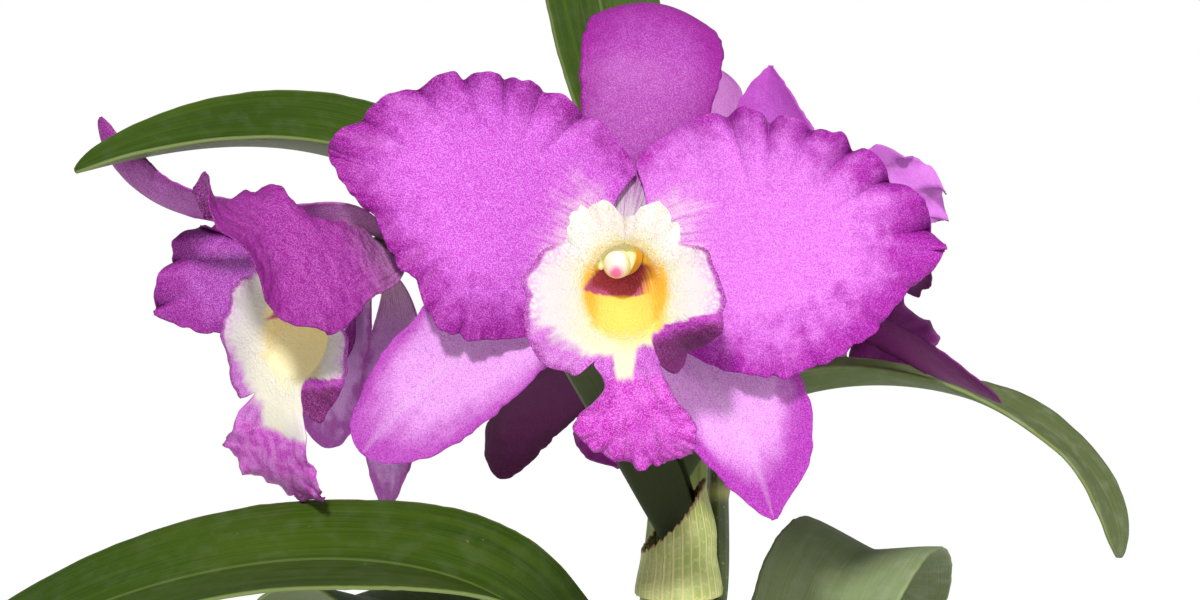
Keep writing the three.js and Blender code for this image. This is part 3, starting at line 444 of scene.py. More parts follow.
class Wiring:
    """A node tree in the making."""

    def __init__(self, tree: NodeTree) -> None:
        """Takes the tree."""
        self.tree = tree

    def node(self, kind: str, settings: dict | None = None, inputs: dict | None = None) -> Node:
        """Adds a node.

        Args:
            kind: The node's type.
            settings: Its properties, set first.
            inputs: Values, signals or sockets, by the name or number of the input.

        Returns:
            The node.
        """
        node = self.tree.nodes.new(kind)
        for name, value in (settings or {}).items():
            setattr(node, name, value)
        for key, value in (inputs or {}).items():
            socket = node.inputs[key]
            if isinstance(value, Signal):
                self.tree.links.new(value.socket, socket)
            elif isinstance(value, NodeSocket):
                self.tree.links.new(value, socket)
            elif isinstance(value, tuple) and socket.type == "RGBA":
                socket.default_value = (*value, 1)
            else:
                socket.default_value = value
        return node

class Signal:
    """A number that varies over a surface. Arithmetic on it adds Math nodes to its graph."""

    def __init__(self, graph: Graph, socket: NodeSocket) -> None:
        """Wraps a socket of a graph."""
        self.graph = graph
        self.socket = socket

    def _maths(self, operation: str, *values: Signal | float) -> Signal:
        """A Math node on the values."""
        inputs = dict(enumerate(values))
        return Signal(self.graph, self.graph.node("ShaderNodeMath", {"operation": operation}, inputs).outputs[0])

    def __add__(self, other: Signal | float) -> Signal:
        """The sum."""
        return self._maths("ADD", self, other)

    __radd__ = __add__

    def __sub__(self, other: Signal | float) -> Signal:
        """The difference."""
        return self._maths("SUBTRACT", self, other)

    def __rsub__(self, other: float) -> Signal:
        """A number less this."""
        return self._maths("SUBTRACT", other, self)

    def __mul__(self, other: Signal | float) -> Signal:
        """The product."""
        return self._maths("MULTIPLY", self, other)

    __rmul__ = __mul__

    def __pow__(self, power: float) -> Signal:
        """This to a power."""
        return self._maths("POWER", self, power)

    def __abs__(self) -> Signal:
        """Its size without its sign."""
        return self._maths("ABSOLUTE", self)

    def sine(self) -> Signal:
        """The sine of this in radians."""
        return self._maths("SINE", self)

    def most(self, other: Signal | float) -> Signal:
        """The larger of two."""
        return self._maths("MAXIMUM", self, other)

    def rise(self, low: float, high: float) -> Signal:
        """Rises smoothly from 0 at low to 1 at high."""
        settings = {"interpolation_type": "SMOOTHSTEP"}
        node = self.graph.node("ShaderNodeMapRange", settings, {0: self, 1: low, 2: high, 3: 0.0, 4: 1.0})
        return Signal(self.graph, node.outputs[0])

    def fall(self, low: float, high: float) -> Signal:
        """Falls smoothly from 1 at low to 0 at high."""
        return 1 - self.rise(low, high)

    def line(self, middle: float, half: float) -> Signal:
        """1 on a line at middle, fading to 0 at half its width to each side."""
        return abs(self - middle).fall(0.0, half)


Value = Signal | float
Paint = NodeSocket | Triple


class Graph(Wiring):
    """The shader graph of one material."""

    def __init__(self, name: str) -> None:
        """Starts an empty material."""
        self.material = bpy.data.materials.new(name)
        self.material.use_nodes = True
        super().__init__(self.material.node_tree)
        self.tree.nodes.clear()

    def parts(self, vector: NodeSocket) -> tuple[Signal, ...]:
        """The three numbers of a vector."""
        return tuple(Signal(self, output) for output in self.node("ShaderNodeSeparateXYZ", None, {0: vector}).outputs)

    def place(self) -> tuple[Signal, ...]:
        """The two shares of a piece's own place: across or round it, and along it."""
        return self.parts(self.node("ShaderNodeTexCoord").outputs["UV"])[:2]

    def position(self) -> NodeSocket:
        """Where the surface is, in metres."""
        return self.node("ShaderNodeTexCoord").outputs["Object"]

    def attribute(self, name: str) -> Node:
        """Reads a mark that the piece carries."""
        return self.node("ShaderNodeAttribute", {"attribute_type": "GEOMETRY", "attribute_name": name})

    def mark(self, name: str) -> Signal:
        """A mark that is one number."""
        return Signal(self, self.attribute(name).outputs["Fac"])

    def spot(self) -> tuple[Signal, ...]:
        """Where the surface is in its bloom, in millimetres: right, up and front."""
        return tuple(part * SPOT for part in self.parts(self.attribute("spot").outputs["Vector"]))

    def point(self, x: Value, y: Value, z: Value = 0.0) -> NodeSocket:
        """A vector made of three numbers."""
        return self.node("ShaderNodeCombineXYZ", None, {0: x, 1: y, 2: z}).outputs[0]

    def noise(self, scale: float, detail: float = 2.0, where: NodeSocket | None = None, warp: float = 0.0) -> Signal:
        """Soft noise from 0 to 1.

        Args:
            scale: How many lumps there are to a metre, or to a unit of where.
            detail: How many finer layers it has.
            where: The point at which it is read. It is the object's own position by default.
            warp: How much it is distorted.
        """
        inputs = {"Vector": where or self.position(), "Scale": scale, "Detail": detail, "Distortion": warp}
        return Signal(self, self.node("ShaderNodeTexNoise", None, inputs).outputs[0])

    def streaks(self, across: Value, along_: Value, detail: float) -> Signal:
        """Soft noise from 0 to 1 over a piece's own place, in lumps to each share."""
        return self.noise(1.0, detail, self.point(across, along_))

    def mix(self, share: Value, first: Paint, second: Paint) -> NodeSocket:
        """A colour that is share of the way from the first to the second."""
        settings = {"data_type": "RGBA", "clamp_factor": True}
        return self.node("ShaderNodeMix", settings, {0: share, 6: first, 7: second}).outputs[2]

    def shaded(self, colour: Paint, strength: Value, shade: Triple) -> NodeSocket:
        """A colour multiplied by a shade, as strongly as strength says."""
        settings = {"data_type": "RGBA", "blend_type": "MULTIPLY", "clamp_factor": True}
        return self.node("ShaderNodeMix", settings, {0: strength, 6: colour, 7: shade}).outputs[2]

    def relief(self, *layers: tuple[Signal, float]) -> NodeSocket:
        """A normal bent by layers of relief, each a height from 0 to 1 and the millimetres that 1 stands."""
        normal: dict[str, NodeSocket] = {}
        for height, millimetres in layers:
            inputs = {"Height": height, "Distance": millimetres * MM, "Strength": 1.0, **normal}
            normal = {"Normal": self.node("ShaderNodeBump", None, inputs).outputs[0]}
        return normal["Normal"]

    def finish(self, colour: Paint, roughness: Value, normal: NodeSocket, **constants: float | Paint) -> Material:
        """Ends the graph in its surface.

        Args:
            colour: The base colour.
            roughness: The roughness.
            normal: The bent normal.
            constants: Other inputs of the surface shader, with _ for a space.

        Returns:
            The material.
        """
        inputs = {"Base Color": colour, "Roughness": roughness, "Normal": normal}
        inputs |= {name.replace("_", " "): value for name, value in constants.items()}
        shader = self.node("ShaderNodeBsdfPrincipled", None, inputs)
        self.node("ShaderNodeOutputMaterial", None, {0: shader.outputs[0]})
        return self.material


# Finishes

BLACK: Triple = (0.0, 0.0, 0.0)
# The cells of a skin to a metre, whose sparkle is painted as light speckles, and how much lower a millimetre to the
# front looks
SKIN_CELLS = 4700.0
LOOK_DOWN = 0.137


@dataclass(frozen=True)
class TepalFinish:
    """The skin of a petal or sepal: pale at its foot, light within and deep at its margin."""

    light: Triple
    deep: Triple
    foot: Triple = (0.72, 0.50, 0.64)
    reverse: Triple = (0.50, 0.18, 0.52)
    vein: Triple = (0.28, 0.03, 0.28)
    hem_from: float = 0.22
    deep_end: float = 0.2
    lean: float = 0.0
    patches: float = 1.0
    foot_reach: float = 0.25
    foot_width: float = 0.68
    keel: float = 0.0
    veins: float = 15.0
    vein_strength: float = 0.005
    stripes: float = 0.25
    sparkle: float = 0.32
    crumple: float = 0.3

    def material(self, name: str) -> Material:
        """Builds the material."""
        g = Graph(name)
        across, share = g.place()
        side = abs(across * 2 - 1)
        wander = g.streaks(across * 9, share * 5, 3.0) - 0.5
        cloud = g.noise(330.0, 3.0) - 0.5
        broad = g.noise(75.0, 2.0) - 0.5
        margin = 1 - (1 - side**2.0) * (1 - share**4.0) + share.rise(0.4, 1.0) * self.deep_end
        margin = margin + (across * 2 - 1) * self.lean
        hem = (margin + wander * 0.4 + (cloud + broad * 0.6) * self.patches).rise(self.hem_from, 1.05)
        # The fold mark darkens the valleys of the ruffles: painted shade in the creases.
        colour = g.mix(hem.most(g.mark("fold") * 0.85), self.light, self.deep)
        colour = g.shaded(colour, g.mark("fold") * 0.75, (0.58, 0.30, 0.58))
        colour = g.mix(side.fall(0.02, 0.14) * share.rise(0.1, 0.3) * self.keel, colour, self.foot)
        fan = (across + wander * 0.025) * (2 * math.pi * self.veins)
        lines = ((fan.sine() * 0.5 + 0.5) ** 14.0) * g.streaks(across * 40, share * 7, 3.0).rise(0.3, 0.55)
        streaks = g.streaks(across * 60, share * 4, 5.0)
        near_foot = (share + (streaks - 0.5) * 0.2 + cloud * 0.15).fall(0.06, self.foot_reach)
        near_foot = near_foot * (side + cloud * 0.3).fall(self.foot_width - 0.4, self.foot_width)
        colour = g.mix(near_foot * 0.92, colour, self.foot)
        colour = g.mix(lines * (near_foot * 0.75 + self.vein_strength), colour, self.vein)
        colour = g.shaded(colour, streaks.rise(0.45, 0.75) * self.stripes, (0.84, 0.62, 0.86))
        fine = g.noise(SKIN_CELLS, 0.0)
        grain = g.noise(2500.0, 1.0)
        speckle = fine * 0.8 + grain * 0.2
        # Light speckles where the skin's cells catch the light are painted glints; the dark speckles between them are
        # its grain.
        glint = g.mix(hem, (0.76, 0.42, 0.80), (0.62, 0.16, 0.62))
        colour = g.mix(speckle.rise(0.5, 0.62) * self.sparkle, colour, glint)
        colour = g.shaded(colour, speckle.fall(0.38, 0.5) * (self.sparkle * 1.6), (0.62, 0.30, 0.62))
        colour = g.mix(g.mark("underside") * 0.55, colour, self.reverse)
        relief = g.relief((grain, 0.05), (streaks * 0.8 - lines * near_foot, 0.08), (g.noise(300.0, 3.0), self.crumple))
        return g.finish(colour, 0.44 + fine * 0.16, relief, Specular_IOR_Level=0.22)


class LipPlace(NamedTuple):
    """Where the surface of a lip is, as signals.

    around and share are its own place. right and low are millimetres in its bloom, low as it is
    seen from the front and a little above. turn is degrees round the tube from its floor, and run
    is 1 at the mouth, 2 at the rim and 3 at the tongue's end. hem and wing rise to the margins of
    the side lobes and of the tongue. fray and blot wander about 0, along the lip and in spots.
    """

    around: Signal
    share: Signal
    right: Signal
    low: Signal
    turn: Signal
    run: Signal
    hem: Signal
    wing: Signal
    fray: Signal
    blot: Signal

    @classmethod
    def on(cls, g: Graph) -> LipPlace:
        """Reads the place and the marks of a lip."""
        around, share = g.place()
        right, up, front = g.spot()
        fray, blot = g.streaks(around * 55, share * 6, 4.0) - 0.5, g.noise(420.0, 3.0) - 0.5
        low, turn = front * LOOK_DOWN - up, abs((around - 0.5) * 360)
        return cls(around, share, right, low, turn, share * 3, g.mark("hem"), g.mark("wing"), fray, blot)


@dataclass(frozen=True)
class LipFinish:
    """The skin of a lip: a maroon throat, a yellow tube, white side lobes and a magenta front lobe."""

    maroon: Triple = (0.19, 0.006, 0.03)
    wine: Triple = (0.42, 0.05, 0.22)
    ember: Triple = (0.66, 0.20, 0.03)
    gold: Triple = (0.76, 0.44, 0.05)
    yellow: Triple = (0.73, 0.60, 0.13)
    cream: Triple = (0.68, 0.65, 0.39)
    white: Triple = (0.60, 0.545, 0.53)
    lilac: Triple = (0.43, 0.10, 0.50)
    light: Triple = (0.54, 0.06, 0.52)
    magenta: Triple = (0.45, 0.010, 0.41)
    deep: Triple = (0.20, 0.004, 0.18)
    reverse: Triple = (0.40, 0.04, 0.37)
    tongue_from: float = 25.6
    ribbon: float = 1.0

    ROOF = (112, 130)

    def material(self, name: str) -> Material:
        """Builds the material."""
        g = Graph(name)
        at = LipPlace.on(g)
        tube, throat = self._tube(g, at)
        inside = (at.run + at.fray * 0.15).fall(0.96, 1.2)
        paint, tongue, right_side, crossing = self._painted(at)
        colour = self._lobes(g, at, tube, inside)
        colour = g.mix(paint, colour, self._magenta(g, at, tongue, right_side, crossing))
        fine = g.noise(SKIN_CELLS, 0.0)
        # Light speckles on the magenta and in the throat: painted glints of the skin's cells.
        light = fine.rise(0.5, 0.64) * (paint * 0.35 * (1 - right_side * 0.6) + throat * 0.4)
        colour = g.mix(light, colour, (0.72, 0.34, 0.66))
        colour = g.shaded(colour, fine.fall(0.34, 0.5) * (paint * 0.6 + throat * 0.5 + 0.06), (0.62, 0.36, 0.58))
        under = g.mark("underside")
        outer = (at.hem + at.fray * 0.5).fall(0.2, 0.75) * at.turn.rise(20, 50)
        colour = g.mix(under * 0.9, colour, g.mix(outer, self.reverse, (0.70, 0.56, 0.66)))
        fuzz = at.run.fall(1.2, 1.9) * (1 - under)
        relief = g.relief(
            (g.noise(1900.0, 3.0) * (fuzz + 0.25), 0.35), (g.streaks(at.around * 60, at.share * 7, 3.0), 0.2)
        )
        # The lip glows as painted light, inside its tube and on its roof.
        glow = g.mix(under, self._glow(g, at, throat, inside), BLACK)
        return g.finish(
            colour, 0.5 + fine * 0.15, relief, Specular_IOR_Level=0.3, Emission_Color=glow, Emission_Strength=0.48
        )

    def _tube(self, g: Graph, at: LipPlace) -> tuple[NodeSocket, Signal]:
        """The colour of the tube's inside, and where its maroon throat is."""
        right, low, fray, blot = at.right, at.low, at.fray, at.blot
        walls = (abs(right) + blot * 3 + fray * 2).rise(4.6, 7.0) * (low + blot * 4).rise(-6.0, 2.0)
        colour = g.mix(walls, self.yellow, self.gold)
        colour = g.mix((low + blot * 5).fall(-3.0, 2.0) * 0.75, colour, self.cream)
        streak = g.streaks(at.around * 90, at.share * 2.5, 3.0) - 0.5
        band = (low + blot).rise(0.8, 1.8) * (low - right * 0.62 + blot).rise(-1.2, 0.2)
        band = band * (low + blot * 1.2).fall(8.9, 9.8) * (right + low * 0.55 + blot * 1.5).rise(-3.7, -2.7)
        slant = right + low * 0.3 + streak * 3
        colour = g.mix(band * slant.fall(6.5, 9.5) * 0.75, colour, self.ember)
        throat = band * slant.fall(5.0, 8.0)
        # The throat is maroon up by the column and wine lower down: its own colour, with painted shade of the deep
        # cavity in its darkest maroon.
        wine = (low * 0.14 - right * 0.06 + fray + streak * 0.8).rise(0.6, 1.2) * 0.9
        colour = g.mix(throat, colour, g.mix(wine, self.maroon, self.wine))
        return g.mix((low + fray * 4).rise(16.5, 21.5) * 0.85, colour, self.cream), throat

    def _lobes(self, g: Graph, at: LipPlace, tube: NodeSocket, inside: Signal) -> NodeSocket:
        """The pale side lobes round the tube, with a blush near their rim."""
        right, low, turn, hem, fray = at.right, at.low, at.turn, at.hem, at.fray
        patch = (abs(right - 0.5) + (low - 16.5).most(0.0) * 1.3 + fray * 3).fall(6.0, 8.6) * turn.fall(60, 80)
        halo = (abs(right) + (low - 18).most(0.0) * 0.6 + fray * 3).fall(6.5, 13.0)
        halo = halo * (1 - hem.rise(0.1, 0.5) * turn.rise(108, 125))
        colour = g.mix(halo * 0.8, self.white, self.cream)
        colour = g.mix((patch * 0.95).most(inside), colour, tube)
        blush = (hem + fray * 0.3 + g.noise(150.0, 2.0) * 0.5).rise(0.75, 1.25)
        blush = blush * turn.rise(50, 70) * turn.fall(118, 130) * 0.75 * g.noise(1600.0, 2.0).rise(0.38, 0.6)
        return g.mix(blush, colour, (0.56, 0.20, 0.58))

    def _painted(self, at: LipPlace) -> tuple[Signal, Signal, Signal, Signal]:
        """Where the lip is magenta, its tongue, its right side lobe, and how far down that lobe it is."""
        right, low, turn, run, hem, fray, blot = at.right, at.low, at.turn, at.run, at.hem, at.fray, at.blot
        edge = (hem + fray * 0.12 + blot * 0.08).rise(0.86, 0.94) * (turn + blot * 30).fall(118, 132)
        left_side = (low + abs(right) * 0.75 + fray * 5 + blot * 5).rise(26.5, 31.0)
        left_side = left_side * (right * -1).rise(2.0, 4.0) * run.rise(1.1, 1.4)
        crossing = low - (15 - right).most(0.0) * 0.3 + fray * 2.5 + blot * 1.5
        right_side = right.rise(3.0, 4.2) * crossing.rise(13.8, 14.5) * (hem + fray * 0.15).rise(0.1, 0.2)
        ribbons = (abs(right + 0.4) + (low - 20).most(0.0) * 0.18 + fray * 1.5).rise(2.1, 3.2)
        ribbons = ribbons * (low + fray * 2 + right.rise(-1.0, 1.0) * 2).rise(21.5, 23.5)
        ribbons = ribbons * turn.fall(32, 40) * run.rise(1.2, 1.5) * self.ribbon
        tongue = (low + fray * 3 + blot * 2).rise(self.tongue_from, self.tongue_from + 2.2)
        paint = edge.most(left_side * 0.9).most(right_side).most(ribbons).most(tongue)
        return paint, tongue, right_side, crossing

    def _magenta(self, g: Graph, at: LipPlace, tongue: Signal, right_side: Signal, crossing: Signal) -> NodeSocket:
        """The colour of the lip's magenta parts, with painted shade on its right side lobe."""
        colour = g.mix(g.noise(420.0, 4.0).rise(0.40, 0.62), self.magenta, self.light)
        colour = g.mix((1 - tongue) * (1 - right_side * 0.8) * 0.6, colour, self.lilac)
        colour = g.mix(g.streaks(at.around * 90, at.share * 5, 4.0).rise(0.48, 0.7) * 0.5, colour, self.deep)
        # Over the right side lobe, below its folded edge, the magenta is deeper and darker further down: painted shade
        # of the curled lobe over its own purple.
        colour = g.mix(right_side * (crossing.rise(15.0, 17.2) * 0.65 + 0.3), colour, self.deep)
        colour = g.shaded(colour, right_side * crossing.rise(15.2, 17.6) * 0.8, (0.55, 0.2, 0.4))
        tip_rim = (at.wing + at.fray * 0.1).rise(0.93, 0.99) * tongue
        rim = (at.hem + at.fray * 0.1).rise(0.86, 0.97).most(tip_rim)
        return g.mix(rim * 0.6, colour, self.deep)

    def _glow(self, g: Graph, at: LipPlace, throat: Signal, inside: Signal) -> NodeSocket:
        """Painted light: a glow where light would come through the lip's thin walls, brightest on its roof."""
        roof = at.turn.rise(*self.ROOF)
        glow = g.mix(throat, self.gold, (0.18, 0.01, 0.05))
        glow = g.mix(roof, glow, self.cream)
        glow = g.mix(inside * (at.low.fall(3.0, 9.0) * 0.45 + 0.55), BLACK, glow)
        return g.mix(roof * at.run.rise(1.0, 1.2) * 0.75, glow, (0.62, 0.59, 0.52))


@dataclass(frozen=True)
class FuzzFinish:
    """The pale hairs of a lip."""

    pale: Triple = (0.82, 0.78, 0.70)
    warm: Triple = (0.78, 0.66, 0.42)

    def material(self, name: str) -> Material:
        """Builds the material."""
        g = Graph(name)
        cloud = g.noise(400.0, 2.0)
        return g.finish(
            g.mix(cloud.rise(0.4, 0.6), self.pale, self.warm), 0.6 + cloud * 0.2, g.relief((cloud, 0.02)),
            Specular_IOR_Level=0.2
        )


@dataclass(frozen=True)
class ColumnFinish:
    """The waxy column, white with a pink spot on its cap and pale yellow-green sides."""

    white: Triple = (0.68, 0.62, 0.56)
    green: Triple = (0.58, 0.55, 0.20)
    pink: Triple = (0.70, 0.07, 0.34)
    gold: Triple = (0.76, 0.44, 0.05)

    def material(self, name: str) -> Material:
        """Builds the material."""
        g = Graph(name)
        right, up, front = g.spot()
        blot = g.noise(900.0, 3.0) - 0.5
        sides = (abs(right + 1.7) + blot).rise(1.5, 2.4) * front.rise(10, 14)
        colour = g.mix(sides * 0.8, self.white, self.green)
        drop = up + 2.9
        away = ((right + 1.6) * (right + 1.6) + drop * drop) ** 0.5
        spot = (away + blot).fall(0.6, 1.9) * front.rise(16.0, 18.0)
        colour = g.mix(spot * 0.9, colour, self.pink)
        foot = front.fall(7.0, 11.0)
        colour = g.mix(foot, colour, self.gold)
        colour = g.shaded(colour, g.noise(500.0, 4.0).rise(0.5, 0.8) * 0.3, (0.86, 0.74, 0.72))
        relief = g.relief((g.noise(1500.0, 3.0), 0.08))
        # The column glows up to near its cap, gold at its foot and green above: painted light in the shade of the lip.
        glow = g.mix(front.rise(17.0, 19.0), g.mix(foot, self.green, self.gold), BLACK)
        return g.finish(
            colour, 0.36 + blot * 0.1, relief, Coat_Weight=0.1, Coat_Roughness=0.3, Emission_Color=glow,
            Emission_Strength=0.35
        )


@dataclass(frozen=True)
class LeafFinish:
    """A waxy strap leaf: dark above with fine lengthwise lines, paler and duller beneath."""

    top: Triple = (0.048, 0.092, 0.004)
    dark: Triple = (0.020, 0.046, 0.002)
    beneath: Triple = (0.14, 0.19, 0.07)
    rib: Triple = (0.16, 0.23, 0.05)
    hem: Triple = (0.26, 0.31, 0.09)
    scar: Triple = (0.20, 0.15, 0.05)
    dust_and_sheen: float = 0.0

    def material(self, name: str) -> Material:
        """Builds the material."""
        g = Graph(name)
        across, share = g.place()
        side = abs(across * 2 - 1)
        fibres = g.streaks(across * 90, share * 5, 6.0)
        broad = g.streaks(across * 14, share * 3, 4.0)
        cloud = g.noise(38.0, 4.0)
        colour = g.mix((fibres * 0.6 + broad * 0.5 + cloud * 0.3).rise(0.45, 0.95), self.dark, self.top)
        under = g.mark("underside")
        colour = g.mix(under, colour, self.beneath)
        colour = g.shaded(colour, fibres.rise(0.5, 0.75) * 0.4, (0.7, 0.78, 0.6))
        # A paler line down the midrib: partly its own colour, partly a painted highlight along the crease.
        colour = g.mix(side.fall(0.012, 0.045) * (under * 0.6 + 0.4), colour, self.rib)
        colour = g.mix(side.rise(0.965, 0.99) * 0.3, colour, self.hem)
        specks = g.noise(900.0, 2.0).rise(0.68, 0.76) * g.noise(60.0, 2.0).rise(0.5, 0.7)
        colour = g.mix(specks * 0.6, colour, self.scar)
        # Grey patches: partly dust, partly a painted sheen.
        colour = g.mix(g.noise(240.0, 5.0).rise(0.42, 0.75) * (0.05 + self.dust_and_sheen), colour, (0.30, 0.34, 0.24))
        # Darker towards its foot: painted shade.
        colour = g.shaded(colour, share.fall(0.12, 0.36) * 0.9, (0.25, 0.26, 0.18))
        relief = g.relief((fibres, 0.16), (g.noise(900.0, 3.0), 0.04))
        rough = 0.40 + cloud * 0.14 + fibres * 0.08 + 0.12 * self.dust_and_sheen
        return g.finish(colour, rough, relief, Specular_IOR_Level=0.16)


@dataclass(frozen=True)
class StalkFinish:
    """A smooth stalk or pedicel that changes colour along its length."""

    start: Triple
    end: Triple
    ring: Triple = (0.30, 0.30, 0.09)
    ring_at: float = 0.37
    turns: float = 0.5

    def material(self, name: str) -> Material:
        """Builds the material."""
        g = Graph(name)
        around, share = g.place()
        streaks = g.streaks(around * 24, share * 9, 4.0)
        colour = g.mix((share + (streaks - 0.5) * 0.3).rise(self.turns - 0.25, self.turns + 0.25), self.start, self.end)
        colour = g.shaded(colour, streaks.rise(0.4, 0.75) * 0.55, (0.5, 0.55, 0.4))
        colour = g.mix(share.line(self.ring_at, 0.035) * 0.85, colour, self.ring)
        colour = g.mix(g.noise(1300.0, 2.0).rise(0.62, 0.72) * 0.25, colour, (0.5, 0.5, 0.3))
        relief = g.relief((streaks, 0.15), (g.noise(1100.0, 2.0), 0.05))
        return g.finish(colour, 0.3 + streaks * 0.16, relief, Coat_Weight=0.1, Coat_Roughness=0.3)


@dataclass(frozen=True)
class BulbFinish:
    """A grooved green pseudobulb with papery remains of its sheaths and yellow-brown nodes."""

    green: Triple = (0.17, 0.25, 0.035)
    pale: Triple = (0.34, 0.38, 0.11)
    paper: Triple = (0.52, 0.46, 0.33)
    node: Triple = (0.44, 0.40, 0.16)
    brown: Triple = (0.16, 0.09, 0.035)
    nodes: tuple[float, ...] = (0.24, 0.5, 0.76)

    def material(self, name: str) -> Material:
        """Builds the material."""
        g = Graph(name)
        around, share = g.place()
        fibres = g.streaks(around * 60, share * 4, 6.0)
        patches = g.streaks(around * 6, share * 3.2, 4.0)
        colour = g.mix((fibres * 0.7 + patches * 0.4).rise(0.35, 0.8), self.green, self.pale)
        papery = (patches + (fibres - 0.5) * 0.3).rise(0.5, 0.56) * share.fall(0.72, 0.8)
        sheath = g.mix(fibres.rise(0.35, 0.7), self.paper, (0.36, 0.29, 0.18))
        colour = g.mix(papery * 0.85, colour, sheath)
        for place in self.nodes:
            colour = g.mix(share.line(place, 0.014) * 0.8, colour, self.node)
            colour = g.mix(share.line(place + 0.014, 0.006) * 0.8, colour, self.brown)
        colour = g.shaded(colour, share.fall(0.0, 0.1) * 0.8, (0.5, 0.4, 0.25))
        relief = g.relief((fibres, 0.4), (papery, 0.25))
        rough = 0.4 + papery * 0.3 + fibres * 0.1
        return g.finish(colour, rough, relief, Specular_IOR_Level=0.45)


@dataclass(frozen=True)
class SheathFinish:
    """The pale green sheath, with yellow lengthwise veins, cross veins and a dry brown edge."""

    # Paler greens and veins than the sheath's own, as painted light where it lies in the blooms' shade.
    green: Triple = (0.32, 0.40, 0.10)
    pale: Triple = (0.52, 0.56, 0.22)
    vein: Triple = (0.74, 0.68, 0.27)
    edge: Triple = (0.15, 0.08, 0.03)

    def material(self, name: str) -> Material:
        """Builds the material."""
        g = Graph(name)
        around, share = g.place()
        wander = g.streaks(around * 12, share * 3, 3.0) - 0.5
        lines = (((around + wander * 0.015) * (2 * math.pi * 26)).sine() * 0.5 + 0.5) ** 6.0
        ladder = ((share + wander * 0.12) * 46 + g.streaks(around * 26, 0.0, 2.0) * 14).sine()
        cross = (ladder * 0.5 + 0.5) ** 10.0
        cloud = g.noise(120.0, 4.0)
        colour = g.mix(cloud.rise(0.35, 0.7), self.green, self.pale)
        colour = g.mix((lines * 0.75).most(cross * 0.45), colour, self.vein)
        mouth = (share + wander * 0.12).rise(0.955, 0.99)
        colour = g.mix(mouth * 0.95, colour, self.edge)
        colour = g.mix((share + wander * 0.2).rise(0.86, 0.99) * 0.35, colour, (0.45, 0.34, 0.14))
        relief = g.relief((lines.most(cross * 0.5), 0.14), (g.noise(900.0, 3.0), 0.05))
        return g.finish(colour, 0.42 + cloud * 0.14, relief, Specular_IOR_Level=0.45)


@dataclass(frozen=True)
class ClayFinish:
    """Unglazed clay with throwing lines, white salts and a little green low down."""

    clay: Triple = (0.42, 0.145, 0.062)
    pale: Triple = (0.56, 0.25, 0.13)
    salts: Triple = (0.66, 0.58, 0.50)
    moss: Triple = (0.12, 0.15, 0.05)

    def material(self, name: str) -> Material:
        """Builds the material."""
        g = Graph(name)
        height = g.parts(g.position())[2]
        cloud = g.noise(26.0, 5.0)
        fine = g.noise(420.0, 5.0)
        colour = g.mix((cloud * 0.7 + fine * 0.4).rise(0.35, 0.8), self.clay, self.pale)
        wash = g.noise(48.0, 6.0, warp=0.6)
        colour = g.mix((wash + height * 1.6).rise(0.60, 0.82) * 0.55, colour, self.salts)
        colour = g.mix((wash - height * 4.0).rise(0.28, 0.5) * 0.4, colour, self.moss)
        lines = (height * 2600 + cloud * 9).sine() * 0.5 + 0.5
        grit = g.noise(1700.0, 3.0)
        colour = g.shaded(colour, grit.rise(0.55, 0.7) * 0.5, (0.62, 0.5, 0.42))
        relief = g.relief((lines, 0.09), (grit * 0.5 + fine * 0.7, 0.22))
        return g.finish(colour, 0.82 + fine * 0.14, relief, Specular_IOR_Level=0.25)


@dataclass(frozen=True)
class BarkFinish:
    """Fir bark: red-brown corky chips, each with its own tone."""

    dark: Triple = (0.055, 0.022, 0.011)
    red: Triple = (0.21, 0.085, 0.038)
    grey: Triple = (0.24, 0.17, 0.12)

    def material(self, name: str) -> Material:
        """Builds the material."""
        g = Graph(name)
        tone = g.mark("tone")
        grain = g.noise(260.0, 6.0, warp=1.2)
        layers = g.noise(900.0, 4.0, warp=0.6)
        colour = g.mix((grain * 0.7 + tone * 0.5).rise(0.3, 0.9), self.dark, self.red)
        colour = g.mix((layers * 0.6 + tone * 0.5).rise(0.62, 0.9) * 0.6, colour, self.grey)
        relief = g.relief((grain, 0.7), (layers, 0.25))
        return g.finish(colour, 0.86 + layers * 0.12, relief, Specular_IOR_Level=0.2)


@dataclass(frozen=True)
class RootFinish:
    """The rhizome, green under brown scales, and its roots in their silvery skin."""

    silver: Triple = (0.50, 0.53, 0.42)
    green: Triple = (0.20, 0.27, 0.09)
    scale: Triple = (0.22, 0.14, 0.07)

    def material(self, name: str) -> Material:
        """Builds the material."""
        g = Graph(name)
        woody = g.mark("woody")
        cloud = g.noise(150.0, 5.0)
        fine = g.noise(1300.0, 4.0)
        colour = g.mix(cloud.rise(0.45, 0.7), self.silver, self.green)
        colour = g.mix((woody + (cloud - 0.5) * 0.9).rise(0.4, 0.7), colour, self.scale)
        colour = g.shaded(colour, fine.rise(0.5, 0.75) * 0.45, (0.55, 0.5, 0.42))
        relief = g.relief((fine * 0.6 + cloud * 0.6, 0.35))
        return g.finish(colour, 0.72 + fine * 0.18, relief, Specular_IOR_Level=0.3)


@dataclass(frozen=True)
class StageFinish:
    """The pale floor."""

    pale: Triple = (0.95, 0.95, 0.948)

    def material(self, name: str) -> Material:
        """Builds the material."""
        g = Graph(name)
        tint = g.mix(g.noise(3.0, 2.0) * 0.15, self.pale, (0.93, 0.93, 0.93))
        return g.finish(tint, 0.9, g.relief((g.noise(60.0, 2.0), 0.05)), Specular_IOR_Level=0.05)


# Blades


class Frames(NamedTuple):
    """A spine at some places: its points, and the ways across it, along it and out of its face."""

    point: Array
    across: Array
    forward: Array
    face: Array


Spine = Callable[[Array], Frames]
PLAIN: Stops = ((0.0, 0.0),)
WHOLE: Stops = ((0.0, 1.0),)


